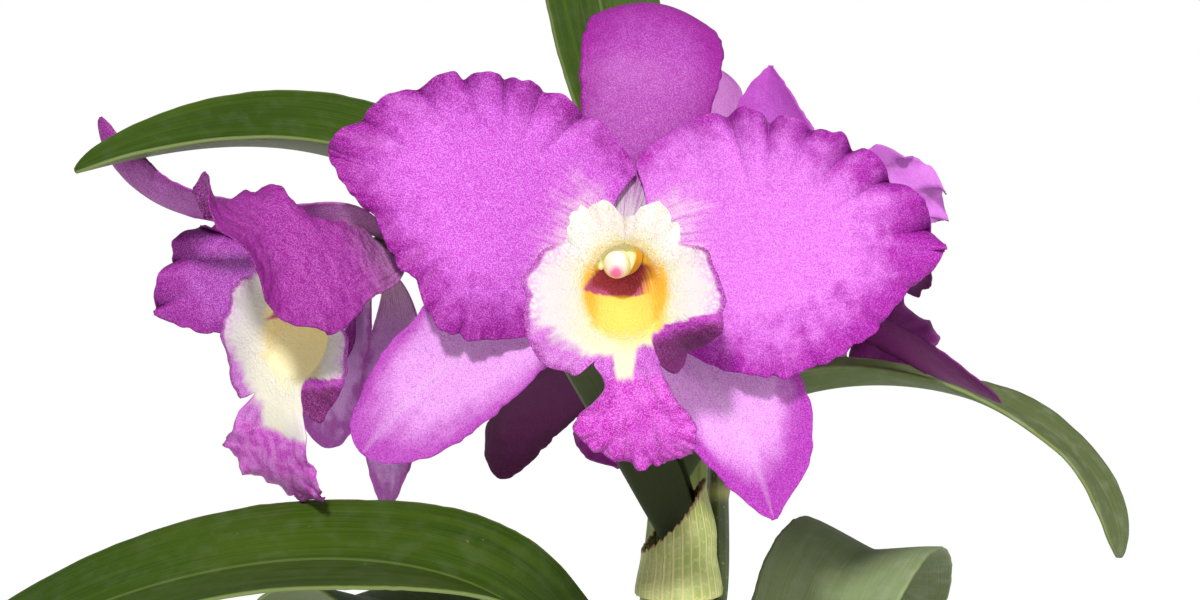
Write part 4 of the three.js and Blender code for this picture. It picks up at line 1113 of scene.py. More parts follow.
@dataclass(frozen=True)
class Ruffle:
    """The waves of a margin: rounded folds that run in like a fan, short pleats, and a fine frill.

    burst is where round the blade the folds stand higher, how wide that stretch is in radians,
    and how much higher they stand.
    """

    count: float = 19.0
    height: float = 2.8
    depth: float = 2.2
    phase: float = 0.4
    left: float = 1.0
    right: float = 1.0
    frill: float = 0.35
    frill_count: float = 47.0
    pleat: float = 0.0
    pleat_count: float = 40.0
    burst: Triple = (0.0, 1.0, 0.0)
    ragged: float = 0.5
    seed: int = 1


@dataclass(frozen=True)
class Blade:
    """The shape of a leaf, petal or sepal about its spine.

    claw is its width at the foot and peak the place of its widest, with rise, fall and blunt as
    the powers of its outline. left and right widen its halves, cup and fold bend them in degrees,
    and the sweeps draw them back. crease rounds the fold.
    """

    length: float = 60.0
    half_width: float = 12.5
    claw: float = 0.2
    peak: float = 0.6
    rise: float = 0.8
    fall: float = 2.4
    blunt: float = 0.55
    left: Stops = WHOLE
    right: Stops = WHOLE
    crease: float = 1.0
    cup: Stops = PLAIN
    fold: Stops = PLAIN
    sweep_left: Stops = PLAIN
    sweep_right: Stops = PLAIN
    ruffle: Ruffle = Ruffle(height=0.0, frill=0.12, ragged=0.25)
    thick: float = 0.62
    rim: float = 0.3

    FAN_FROM = 0.38

    def outline(self, u: Array) -> Array:
        """The half-width at u along the blade, as a share of its widest."""
        swell = self.claw + (1 - self.claw) * np.sin(np.clip(math.pi / 2 * u / self.peak, 0, math.pi / 2)) ** self.rise
        past = np.clip((u - self.peak) / (1 - self.peak), 0, 1)
        return np.where(u < self.peak, swell, np.maximum(0.05, (1 - past**self.fall) ** self.blunt))

    def waves(self, u: Array, v: Array, reach: Array) -> tuple[Array, Array, Array]:
        """How far the ruffles lift the blade, how deep in a fold's valley it is, which the skin darkens as painted
        shade, and how deep in a broad one.
        """
        ruffle = self.ruffle
        angle = np.arctan2(v * reach, (u - self.FAN_FROM) * self.length)
        margin = 1 - (1 - v**2) * (1 - u**5)
        side = np.where(v < 0, ruffle.left, ruffle.right)
        turn = ruffle.count * angle / 2 + 0.7 * ripple(angle / 2, ruffle.seed + 20)
        swing = np.abs(np.sin(turn + ruffle.phase))
        broad = (1.9 * swing**0.7 - 1.2) * (1 + 0.35 * ripple(angle, ruffle.seed + 21))
        pace = ruffle.frill_count * angle / (2 * math.pi)
        fine = ripple(pace, ruffle.seed) * (0.45 + 0.55 * ripple(pace / 5, ruffle.seed + 7))
        pleats = ripple(ruffle.pleat_count * angle / (2 * math.pi), ruffle.seed + 11, 2)
        creases = np.exp(-((pleats / 0.25) ** 2))
        place, spread, strength = ruffle.burst
        boost = 1 + strength * np.exp(-(((angle - place) / spread) ** 2))
        folds = ruffle.pleat * margin**5 * (0.5 * pleats - 0.6 * creases)
        frill = 1.6 * ruffle.frill * margin**9 * fine
        lift = side * boost
        waved = ruffle.height * lift * margin**ruffle.depth * broad + folds + frill
        valley = lift * np.exp(-((swing / 0.5) ** 2))
        folded = margin**2.1 * valley + 0.7 * margin**5 * creases * (ruffle.pleat > 0)
        settled = smoothstep(u, 0.08, 0.3)
        return settled * waved, settled * np.clip(folded, 0, 1), settled * valley

    def sheet(self, spine: Spine, rows: int, columns: int) -> Sheet:
        """The blade's middle surface about a spine.

        Args:
            spine: The curve that it follows.
            rows: Its cells along.
            columns: Its cells across.

        Returns:
            The sheet. Its place is the share across it and the share along it. Its mark is fold, how deep in a fold's
            valley it is, which the skin darkens as painted shade.
        """
        u = (1 - (1 - np.linspace(0, 1, rows + 1)) ** 1.15)[:, None]
        spread = np.linspace(-1, 1, columns + 1)
        v = (np.sign(spread) * np.abs(spread) ** 0.82)[None, :]
        frames = spine(u[:, 0])
        share = np.where(v < 0, along(self.left, u), along(self.right, u))
        reach = self.half_width * self.outline(u) * share
        jag = self.ruffle.ragged * ripple(u * self.length / 7 + np.sign(v) * 3.3, self.ruffle.seed + 3)
        reach = reach + jag * smoothstep(u, 0.1, 0.3) * v**4
        waved, folded, valley = self.waves(u, v, reach)
        reach = reach - 0.5 * self.ruffle.height * valley * v**6
        cup, fold = np.radians(along(self.cup, u)), np.radians(along(self.fold, u))
        safe = np.where(np.abs(cup) > 1e-4, cup, 1e-4)
        wide = reach * np.sin(safe * np.abs(v)) / safe
        high = reach * (1 - np.cos(safe * np.abs(v))) / safe
        creased = np.sqrt(wide**2 + self.crease**2) - self.crease
        x = np.sign(v) * (wide * np.cos(fold) - high * np.sin(fold))
        z = creased * np.sin(fold) + high * np.cos(fold) + waved
        back = np.where(v < 0, along(self.sweep_left, u), along(self.sweep_right, u)) * v**2
        point, across, forward, face = (way[:, None, :] for way in frames)
        points = point + across * x[..., None] + face * z[..., None] - forward * back[..., None]
        margin = 1 - (1 - v**2) * (1 - u**8)
        thickness = lerp(self.thick, self.rim, margin**3) * np.ones_like(x)
        # fold carries how deep in the folds' valleys each point is, for the painted shade there.
        marks = {"fold": folded.ravel()} if self.ruffle.height else {}
        place = grid_place((v[0] + 1) / 2, u[:, 0])
        return Sheet(points.reshape(-1, 3), grid_faces(rows, columns), place, thickness.ravel(), marks)


def leaf_spine(path: Sequence[Triple], heading: Triple, roll: Stops) -> Spine:
    """The spine of a leaf: a cubic curve, its blade level across and rolled by degrees."""
    curve = Cubic(tuple(path))
    side = unit(np.cross(heading, UP))

    def spine(u: Array) -> Frames:
        forward = curve.heading(u)
        across = unit(side - forward * dot(side, forward))
        across = turned(across, forward, np.radians(along(roll, u)))
        return Frames(curve.at(u), across, forward, np.cross(across, forward))

    return spine


# Stage


@dataclass
class Stage:
    """The pale floor, the soft light and the camera."""

    floor_radius: float = 14.0
    target: Triple = (-8.0, -22.0, 275.0)
    distance: float = 650.0
    tilt: float = 8.0
    view_width: float = 240.0
    sensor: float = 36.0
    suns: tuple[tuple[str, float, float, Triple], ...] = (
        ("key", 3.4, 6.0, (-0.10, -0.78, 0.62)), ("fill", 0.9, 25.0, (0.62, -0.62, 0.48))
    )
    sky: float = 0.27

    def build(self) -> None:
        """Adds the floor, the light and the camera."""
        self._floor()
        self._light()
        self._camera()

    def _floor(self) -> None:
        """A wide pale disc under the pot."""
        mesh = disc_mesh("floor", self.floor_radius, 0.0, 96)
        new_object("floor", mesh, StageFinish().material("pale_floor"))

    def _light(self) -> None:
        """A soft key from the front and above, a broad fill from the right, and an even pale sky."""
        for name, power, softness, source in self.suns:
            light = bpy.data.lights.new(name, "SUN")
            light.energy = power
            light.angle = math.radians(softness)
            linked(name, light).rotation_euler = Vector(source).to_track_quat("Z", "Y").to_euler()
        world = bpy.data.worlds.new("sky")
        world.use_nodes = True
        background = world.node_tree.nodes["Background"]
        background.inputs["Color"].default_value = (1.0, 1.0, 1.0, 1.0)
        background.inputs["Strength"].default_value = self.sky
        bpy.context.scene.world = world
        bpy.context.scene.view_settings.view_transform = "Standard"

    def _camera(self) -> None:
        """The camera, a little above the front bloom and in line with it."""
        camera = bpy.data.cameras.new("camera")
        camera.sensor_width = self.sensor
        camera.lens = self.sensor * self.distance / self.view_width
        camera.clip_start = 0.01
        camera.clip_end = 100.0
        tilt = math.radians(self.tilt)
        back = Vector((0.0, -math.cos(tilt), math.sin(tilt)))
        holder = linked("camera", camera)
        holder.location = (Vector(self.target) + back * self.distance) * MM
        holder.rotation_euler = back.to_track_quat("Z", "Y").to_euler()
        bpy.context.scene.camera = holder


# Pot and bark


def softened(profile: Sequence[tuple[float, float]], radius: float, steps: int = 4) -> list[tuple[float, float]]:
    """A profile with its inner corners rounded.

    Args:
        profile: Pairs of radius and height, from axis to axis.
        radius: How far from each corner the rounding starts.
        steps: The points in each rounding.
    """
    out = [profile[0]]
    for before, corner, after in zip(profile, profile[1:], profile[2:]):
        a, b, c = (np.array(p, float) for p in (before, corner, after))
        near = min(radius, 0.45 * float(np.linalg.norm(a - b)))
        far = min(radius, 0.45 * float(np.linalg.norm(c - b)))
        start, end = b + unit(a - b) * near, b + unit(c - b) * far
        for t in np.linspace(0, 1, steps + 1):
            point = (1 - t) ** 2 * start + 2 * (1 - t) * t * b + t**2 * end
            out.append((float(point[0]), float(point[1])))
    out.append(profile[-1])
    return out


def lathed(
    name: str, profile: Sequence[tuple[float, float]], sides: int, relief: Callable[[Array], Array] | None = None
) -> Mesh:
    """A closed turned mesh.

    Args:
        name: The mesh's name.
        profile: Pairs of radius and height that start and end on the axis.
        sides: Its faces round the axis.
        relief: A function that moves its points.
    """
    rings = np.array(profile[1:-1], float)
    turn = np.linspace(0, 2 * math.pi, sides, endpoint=False)
    ring = np.stack([np.cos(turn), np.sin(turn)], axis=1)
    points = np.concatenate([np.column_stack([ring * r, np.full(sides, z)]) for r, z in rings])
    points = np.concatenate([points, [[0, 0, profile[0][1]], [0, 0, profile[-1][1]]]])
    if relief is not None:
        points = relief(points)
    place = np.column_stack([np.arctan2(points[:, 1], points[:, 0]) / (2 * math.pi) + 0.5, points[:, 2] / 100])
    return mesh_from(name, Form(points, capped_faces(len(rings), sides), place, {}))


@dataclass
class Pot:
    """The clay pot, with a banded rim and drain holes."""

    height: float = 112.0
    rim_radius: float = 68.0
    foot_radius: float = 47.0
    wall: float = 5.0
    floor: float = 7.0
    band: float = 24.0
    band_out: float = 3.5
    drain_radius: float = 5.0
    drain_ring: float = 26.0
    drains: int = 4

    def inside(self, z: float) -> float:
        """The radius of the inside at a height."""
        low, high = self.foot_radius - self.wall, self.rim_radius - self.wall - 2
        return float(lerp(low, high, (z - self.floor) / (self.height - 2 - self.floor)))

    def build(self) -> None:
        """Turns the pot, cuts its drain holes and dresses it."""
        body = self.rim_radius - self.band_out
        profile = [
            (0, 0), (self.foot_radius - 2, 0), (self.foot_radius, 2), (body - 1.5, self.height - self.band - 1),
            (self.rim_radius - 0.8, self.height - self.band + 1.5), (self.rim_radius, self.height - 2),
            (self.rim_radius - 2, self.height), (self.rim_radius - self.wall - 1, self.height),
            (self.rim_radius - self.wall - 2, self.height - 2), (self.foot_radius - self.wall, self.floor),
            (0, self.floor)
        ]
        mesh = lathed("pot_shell", softened(profile, 1.3), 144, self._thrown)
        pot = new_object("clay_pot", mesh, ClayFinish().material("clay"))
        cutters = [self._cutter(i) for i in range(self.drains)]
        for cutter in cutters:
            cut = pot.modifiers.new("drain", "BOOLEAN")
            cut.operation = "DIFFERENCE"
            cut.object = cutter
        settle(pot)
        for cutter in cutters:
            bpy.data.objects.remove(cutter)
        dressed(pot, "clay", "pot")

    def _thrown(self, points: Array) -> Array:
        """Draws the wall in by faint throwing ridges, outside and below the band."""
        out = points.copy()
        reach = np.linalg.norm(points[:, :2], axis=1)
        outer = (reach > self.foot_radius + 0.5) & (points[:, 2] > 4) & (points[:, 2] < self.height - self.band - 3)
        draw = 0.12 * (0.5 + 0.5 * np.sin(points[:, 2] * 1.9)) * outer
        out[:, :2] *= (1 - draw / np.maximum(reach, 1))[:, None]
        return out

    def _cutter(self, index: int) -> Object:
        """A round bar that stands through the floor where a drain hole goes."""
        turn = 2 * math.pi * (index + 0.5) / self.drains
        middle = Vector((self.drain_ring * math.cos(turn), self.drain_ring * math.sin(turn), self.floor / 2))
        radius = self.drain_radius * MM
        bar = bmesh.new()
        bmesh.ops.create_cone(
            bar, cap_ends=True, segments=32, radius1=radius, radius2=radius, depth=3 * self.floor * MM,
            matrix=Matrix.Translation(middle * MM)
        )
        return linked("drain", mesh_of("drain", bar))


class Layer(Enum):
    """The layers of loose chips, with their height, spacing, tilt and seed."""

    BED = (94.2, 5.6, 0.35, 3)
    TOP = (96.6, 10.5, 0.6, 8)


class TreeBuilder(Wiring):
    """Builds a Geometry Nodes tree with named inputs."""

    SOCKETS = {
        "geometry": "Geometry", "float": "Float", "int": "Int", "material": "Material", "collection": "Collection"
    }

    def __init__(self, name: str, inputs: dict[str, str]) -> None:
        """Starts a tree.

        Args:
            name: Its name.
            inputs: The kind of each named input after its geometry.
        """
        super().__init__(bpy.data.node_groups.new(name, "GeometryNodeTree"))
        self.tree.interface.new_socket("Geometry", in_out="INPUT", socket_type="NodeSocketGeometry")
        for label, kind in inputs.items():
            self.tree.interface.new_socket(label, in_out="INPUT", socket_type=f"NodeSocket{self.SOCKETS[kind]}")
        self.tree.interface.new_socket("Geometry", in_out="OUTPUT", socket_type="NodeSocketGeometry")
        self.inputs = self.tree.nodes.new("NodeGroupInput").outputs

    def product(self, first: NodeSocket, second: NodeSocket) -> NodeSocket:
        """The product of two numbers."""
        return self.node("ShaderNodeMath", {"operation": "MULTIPLY"}, {0: first, 1: second}).outputs[0]

    def named(self, name: str) -> NodeSocket:
        """A mark that the mesh carries."""
        return self.node("GeometryNodeInputNamedAttribute", {"data_type": "FLOAT"}, {"Name": name}).outputs[0]

    def chance(self, kind: str, low: object, high: object, seed: int) -> NodeSocket:
        """A seeded random value between two, of kind FLOAT, INT or FLOAT_VECTOR."""
        first, output = {"FLOAT_VECTOR": (0, 0), "FLOAT": (2, 1), "INT": (4, 2)}[kind]
        node = self.node("FunctionNodeRandomValue", {"data_type": kind}, {first: low, first + 1: high, "Seed": seed})
        return node.outputs[output]

    def finish(self, geometry: NodeSocket, material: NodeSocket) -> NodeTree:
        """Realizes the instances, sets their material and ends the tree."""
        real = self.node("GeometryNodeRealizeInstances", None, {0: geometry})
        painted = self.node("GeometryNodeSetMaterial", None, {"Geometry": real.outputs[0], "Material": material})
        self.node("NodeGroupOutput", None, {0: painted.outputs[0]})
        return self.tree

    @staticmethod
    def grow(host: Object, tree: NodeTree, values: dict[str, object]) -> Object:
        """Runs a tree on an object and keeps the result as its plain mesh.

        Args:
            host: The object whose mesh the tree starts from.
            tree: The tree.
            values: The value of each named input.

        Returns:
            The object.
        """
        modifier = host.modifiers.new(tree.name, "NODES")
        modifier.node_group = tree
        for item in tree.interface.items_tree:
            if item.in_out == "INPUT" and item.name in values:
                modifier[item.identifier] = values[item.name]
        host.update_tag()
        bpy.context.view_layer.update()
        return settle(host)


@dataclass
class BarkMix:
    """The bark that fills the pot: a packed filling, and loose chips that stay clear of its wall."""

    pot: Pot
    level: float = 96.0
    chip: Triple = (15.0, 9.0, 4.2)
    kinds: int = 6
    seed: int = 7
    clear: float = 0.62

    def build(self) -> None:
        """Fills the pot and scatters the chips."""
        finish = BarkFinish().material("bark")
        self._filling(finish)
        tree = self._tree()
        prototypes = self._prototypes(finish)
        for layer in Layer:
            self._scatter(layer, tree, prototypes, finish)
        for chip in list(prototypes.objects):
            bpy.data.objects.remove(chip)
        bpy.data.collections.remove(prototypes)

    def _filling(self, finish: Material) -> None:
        """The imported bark, with a lumpy top."""
        foot = self.pot.floor + GAP
        top = self.level - 3.5
        rings = [(r, top) for r in np.linspace(self.pot.inside(top) - 2 * GAP, 2, 22)]
        profile = [(0, foot), (self.pot.inside(foot) - 2 * GAP, foot), *rings, (0, top)]

        def lumps(points: Array) -> Array:
            out = points.copy()
            rough = ripple(points[:, 0] / 13 + 0.7 * np.sin(points[:, 1] / 9), 5) + ripple(points[:, 1] / 11, 9)
            out[:, 2] += np.where(points[:, 2] > top - 0.1, 0.9 * rough, 0)
            return out

        mesh = lathed("bark_filling", profile, 72, lumps)
        mesh.attributes.new("tone", "FLOAT", "POINT")
        dressed(new_object("packed_bark", mesh, finish), "bark", "bark_mix")

    def _prototypes(self, finish: Material) -> Collection:
        """Some rough chips to choose among."""
        found = bpy.data.collections.new("chips")
        for kind in range(self.kinds):
            random = np.random.default_rng(self.seed + kind)
            block = bmesh.new()
            bmesh.ops.create_cube(block, size=1.0)
            bmesh.ops.subdivide_edges(block, edges=block.edges[:], cuts=3, use_grid_fill=True)
            size = np.array(self.chip) * (0.75 + 0.5 * random.random(3))
            lean = random.normal(0, 0.18, 2)
            for vertex in block.verts:
                p = np.array(vertex.co)
                soft = 1 - 0.22 * float(np.sum((2 * p) ** 4) - 1) / 2
                p = p * soft + random.normal(0, 0.028, 3)
                p[0] *= 1 + lean[0] * p[1] * 2
                p[2] += 0.5 * lean[1] * p[0] + 0.15 * math.sin(5 * p[0] + kind)
                vertex.co = Vector(p * size * MM)
            mesh = mesh_of(f"chip_{kind}", block)
            mesh.materials.append(finish)
            found.objects.link(bpy.data.objects.new(f"chip_{kind}", mesh))
        return found

    def _tree(self) -> NodeTree:
        """The tree that scatters chips over a surface."""
        named = {"Chips": "collection", "Spacing": "float", "Tilt": "float", "Seed": "int", "Bark": "material"}
        b = TreeBuilder("scattered_chips", named)
        spread = b.node(
            "GeometryNodeDistributePointsOnFaces", {"distribute_method": "POISSON"},
            {
                "Mesh": b.inputs["Geometry"], "Distance Min": b.inputs["Spacing"], "Density Max": 90000.0,
                "Seed": b.inputs["Seed"]
            }
        )
        marked = b.node(
            "GeometryNodeStoreNamedAttribute", {"data_type": "FLOAT", "domain": "POINT"},
            {"Geometry": spread.outputs["Points"], "Name": "tone", "Value": b.chance("FLOAT", 0.0, 1.0, 11)}
        )
        tilt, lean = (b.product(b.chance("FLOAT", -1.0, 1.0, seed), b.inputs["Tilt"]) for seed in (21, 22))
        turn = b.chance("FLOAT", 0.0, 2 * math.pi, 23)
        rotation = b.node("ShaderNodeCombineXYZ", None, {0: tilt, 1: lean, 2: turn})
        chips = b.node(
            "GeometryNodeCollectionInfo", None,
            {"Collection": b.inputs["Chips"], "Separate Children": True, "Reset Children": True}
        )
        placed = b.node(
            "GeometryNodeInstanceOnPoints", None,
            {
                "Points": marked.outputs["Geometry"], "Instance": chips.outputs[0], "Pick Instance": True,
                "Instance Index": b.chance("INT", 0, self.kinds - 1, 31), "Rotation": rotation.outputs[0],
                "Scale": b.chance("FLOAT_VECTOR", (0.6, 0.6, 0.7), (1.15, 1.15, 1.1), 41)
            }
        )
        return b.finish(placed.outputs["Instances"], b.inputs["Bark"])

    def _scatter(self, layer: Layer, tree: NodeTree, chips: Collection, finish: Material) -> None:
        """Scatters one layer of chips over a disc and keeps those that clear the pot's wall."""
        height, spacing, tilt, seed = layer.value
        reach = self.pot.inside(height) - self.clear * math.hypot(*self.chip[:2])
        mesh = disc_mesh("bed", reach * MM, height * MM, 48)
        host = new_object(f"bark_chips_{layer.name.lower()}", mesh, finish)
        values = {"Chips": chips, "Spacing": spacing * MM, "Tilt": tilt, "Seed": seed, "Bark": finish}
        TreeBuilder.grow(host, tree, values)
        dressed(host, "bark")


# Blooms

Faces = Sequence[tuple[float, Triple]]


def radial(degrees: Array) -> Array:
    """The ways out from the middle of a bloom, for degrees round it from its underside."""
    angle = np.radians(degrees)
    return np.stack([np.sin(angle), -np.cos(angle), np.zeros_like(angle)], -1)


def spotted(form: Form) -> Form:
    """The form with a mark of where its points are in the bloom."""
    return form._replace(marks={"spot": form.points / SPOT})


@dataclass(frozen=True)
class BloomFrame:
    """Where a bloom is in the plant: its centre, and its ways right, up and to the front."""

    centre: Triple
    facing: Triple
    turn: float = 0.0

    def basis(self) -> Array:
        """The rows right, up and front."""
        front = unit(np.array(self.facing))
        up = unit(UP - front * float(np.dot(UP, front)))
        up = turned(up, front, math.radians(self.turn))
        return np.stack([np.cross(up, front), up, front])

    def to_plant(self, points: Array) -> Array:
        """Points of the bloom, in the plant."""
        return points @ self.basis() + np.array(self.centre)

    def to_bloom(self, points: Array) -> Array:
        """Points of the plant, in the bloom."""
        return (np.asarray(points, float) - np.array(self.centre)) @ self.basis().T


@dataclass(frozen=True)
class Tepal(Blade):
    """A petal or sepal: its blade, and the way that it takes from the receptacle.

    It leaves the receptacle at angle degrees round it. Then bend, sway and twist turn it as it
    goes, or, where a way and a tip are given, it runs through them with its face turned by faces.
    """

    angle: float = 90.0
    layer: float = -2.0
    start: float = 4.75
    bend: Stops = PLAIN
    sway: Stops = PLAIN
    twist: Stops = PLAIN
    lead: float = 10.0
    way: Triple | None = None
    tip: Triple | None = None
    faces: Faces = ()

    STEPS = 160

    def spine(self, frame_: BloomFrame) -> Spine:
        """The spine of the blade in its bloom."""
        return self._free() if self.way is None else self._guided(frame_)

    def _free(self) -> Spine:
        """The spine of a tepal that is bent by degrees."""
        out, right = radial(self.angle + 90.0), radial(self.angle)

        def frames(u: Array) -> tuple[Array, Array, Array]:
            pitch, yaw, roll = (np.radians(along(stops, u)) for stops in (self.bend, self.sway, self.twist))
            level = np.cos(yaw)[:, None] * out + np.sin(yaw)[:, None] * right
            forward = level * np.cos(pitch)[:, None] + UP * np.sin(pitch)[:, None]
            face = UP * np.cos(pitch)[:, None] - level * np.sin(pitch)[:, None]
            across = turned(np.cross(forward, face), forward, -roll)
            return across, forward, np.cross(across, forward)

        middles = (np.arange(self.STEPS) + 0.5) / self.STEPS
        steps = frames(middles)[1] * (self.length / self.STEPS)
        foot = out * self.start + UP * self.layer
        knots = foot + np.concatenate([np.zeros((1, 3)), np.cumsum(steps, axis=0)])
        grid = np.linspace(0, 1, self.STEPS + 1)

        def spine(u: Array) -> Frames:
            point = np.stack([np.interp(u, grid, knots[:, axis]) for axis in range(3)], axis=1)
            return Frames(point, *frames(u))

        return spine

    def _guided(self, frame_: BloomFrame) -> Spine:
        """The spine of a tepal that runs through a way and a tip in the plant."""
        out = radial(self.angle + 90.0)
        foot = out * self.start + UP * self.layer
        ends = frame_.to_bloom(np.array([self.way, self.tip]))
        curve = Cubic((foot, foot + out * self.lead, ends[0], ends[1]))
        basis = frame_.basis()
        stops = [(place, unit(basis @ np.array(direction))) for place, direction in self.faces]

        def spine(u: Array) -> Frames:
            t = curve.even(u)
            forward = curve.heading(t)
            wanted = np.stack([along([(place, face[axis]) for place, face in stops], u) for axis in range(3)], axis=1)
            across = unit(np.cross(forward, wanted))
            return Frames(curve.at(t), across, forward, np.cross(across, forward))

        return spine


@dataclass(frozen=True)
class LipShape:
    """A lip: a tube round the column that flares into two side lobes, and a tongue."""

    foot_radius: float = 4.4
    foot_front: float = 2.3
    mouth_half_width: float = 8.0
    mouth_top: float = 3.3
    mouth_bottom: float = -15.0
    mouth_front: float = 22.5
    mouth_lean: float = 3.5
    slit: float = 180.0
    flare_bend: float = 2.6
    throat_lean: float = 20.0
    tongue_share: float = 1 / 3
    necks: tuple[float, float] = (4.8, 4.8)
    blade: float = 12.3
    lobes: tuple[float, float] = (1.0, 1.0)
    curls: tuple[float, float] = (0.0, 0.0)
    reach: float = 20.0
    drift: float = 0.0
    frill: float = 0.8
    tongue_frill: float = 1.1
    thick: float = 0.55
    rim: float = 0.3
    seed: int = 31

    FLARE_LENGTH = (
        (0, 7), (24, 7), (34, 12), (50, 14), (90, 12.5), (112, 10.5), (127, 7.2), (140, 9), (152, 10), (166, 9.6),
        (173, 7.6), (180, 5)
    )
    FLARE_ANGLE = ((0, 72), (24, 72), (60, 88), (90, 100), (120, 98), (150, 88), (180, 80))
    TONGUE_LEAN = ((0, 74), (0.45, 92), (1, 128))
    TONGUE_LIFT = ((0, 1), (0.25, 3.4), (0.6, 1.2), (1, -1))
    CURL_AT, CURL_SPREAD = 44.0, 18.0

    def degrees(self, v: Array) -> Array:
        """The angle round the tube from its floor, for v from slit to slit."""
        return self.slit * (0.35 * v + 0.65 * v**3)

    def _mouth(self, angle: Array) -> Array:
        """The points of the mouth."""
        half, middle = (self.mouth_top - self.mouth_bottom) / 2, (self.mouth_top + self.mouth_bottom) / 2
        y = middle - half * np.cos(angle)
        return np.stack(
            [self.mouth_half_width * np.sin(angle), y, self.mouth_front + self.mouth_lean * np.cos(angle)], -1
        )

    def _tube(self, v: Array, s: Array) -> Array:
        """Points of the tube, from its foot to its mouth."""
        out, mouth = radial(self.degrees(v)), self._mouth(np.radians(self.degrees(v)))
        tilt = math.radians(self.throat_lean)
        foot = out * self.foot_radius + UP * self.foot_front
        swell = out * (self.foot_radius + 2.4) + UP * (self.foot_front + 6)
        before = mouth - 6 * (out * math.sin(tilt) + UP * math.cos(tilt))
        s = s[:, None, None]
        return (1 - s) ** 3 * foot + 3 * (1 - s) ** 2 * s * swell + 3 * (1 - s) * s**2 * before + s**3 * mouth

    def _flare(self, v: Array, s: Array) -> Array:
        """Points of the flare, from the mouth to the rim of the side lobes."""
        degrees = self.degrees(v)
        out, around = radial(degrees)[None], np.abs(degrees)
        tilt = math.radians(self.throat_lean)
        lobe = np.where(degrees < 0, self.lobes[0], self.lobes[1])
        curl = np.where(degrees < 0, self.curls[0], self.curls[1])
        share = lerp(1, lobe, smoothstep(around, 24, 50))
        jag = 1 + 0.05 * ripple(degrees / 31, self.seed) * smoothstep(around, 26, 40)
        jag = jag + (
            0.06 * ripple(degrees / 13, self.seed + 3) + 0.08 * ripple(degrees / 4.5, self.seed + 9)
        ) * smoothstep(around, 118, 130)
        length = (along(self.FLARE_LENGTH, around) * share * jag)[None, :] * s[:, None]
        turn = along(self.FLARE_ANGLE, around) + curl * np.exp(-(((around - self.CURL_AT) / self.CURL_SPREAD) ** 2))
        end = np.radians(turn)[None, :]
        points = np.tile(self._mouth(np.radians(degrees)), (len(s), 1, 1))
        steps = 24
        for i in range(steps):
            lean = lerp(tilt, end, 1 - np.exp(-length * (i + 0.5) / steps / self.flare_bend))[..., None]
            points += (out * np.sin(lean) + UP * np.cos(lean)) * (length / steps)[..., None]
        lean = lerp(tilt, end, 1 - np.exp(-length / self.flare_bend))[..., None]
        inner = UP * np.sin(lean) - out * np.cos(lean)
        roof = 1 + 2.6 * smoothstep(around, 118, 136)
        wave = ripple(degrees / 52, self.seed + 1) + 0.55 * roof * ripple(degrees / 19, self.seed + 2)
        reach = self.frill * smoothstep(around, 26, 42) * wave
        return points + inner * (s[:, None] ** 2 * reach[None, :])[..., None]

    def _tongue(self, rim: Array, share: Array, v: Array) -> Array:
        """Points of the tongue, that goes on from a stretch of the rim."""
        middle = (len(v) - 1) // 2
        edge = abs(float(rim[0, 0]))
        step = self.reach / len(share)
        halves = np.radians(along(self.TONGUE_LEAN, share - 0.5 / len(share)))
        rows_y = rim[middle, 1] - np.cumsum(np.sin(halves)) * step
        rows_z = rim[middle, 2] + np.cumsum(np.cos(halves)) * step
        notch = 1 + 0.045 * ripple(share * 3.1, self.seed + 4)
        ends = ((0.6, self.blade), (0.85, 0.78 * self.blade), (1, 0.25 * self.blade))
        sides = [along(((0, edge), (0.22, neck), *ends), share) * notch for neck in self.necks]
        width = np.where(v[None] > 0, sides[0][:, None], sides[1][:, None])
        settle = ((1 - share) ** 2)[:, None]
        offset = (rim - rim[middle])[None] * settle[..., None]
        points = np.empty((len(share), len(v), 3))
        points[..., 0] = (self.drift * share**2)[:, None] - v[None] * width
        points[..., 1] = rows_y[:, None] + offset[..., 1]
        rise = along(self.TONGUE_LIFT, share)[:, None] * np.abs(v)[None] ** 3 * (1 - settle)
        points[..., 2] = rows_z[:, None] + offset[..., 2] + rise
        lean = np.radians(along(self.TONGUE_LEAN, share))[:, None]
        across, down = -v[None] * width, (share[:, None] - 0.5) * self.reach
        angle = np.arctan2(across, down) / (2 * math.pi)
        margin = 1 - (1 - v[None] ** 2) * (1 - share[:, None] ** 5)
        wave = ripple(angle * 7, self.seed + 5) + 0.6 * ripple(angle * 19, self.seed + 6)
        wave = wave * self.tongue_frill * margin**2 * smoothstep(share, 0.25, 0.5)[:, None]
        points[..., 1] += np.cos(lean) * wave
        points[..., 2] += np.sin(lean) * wave
        return points

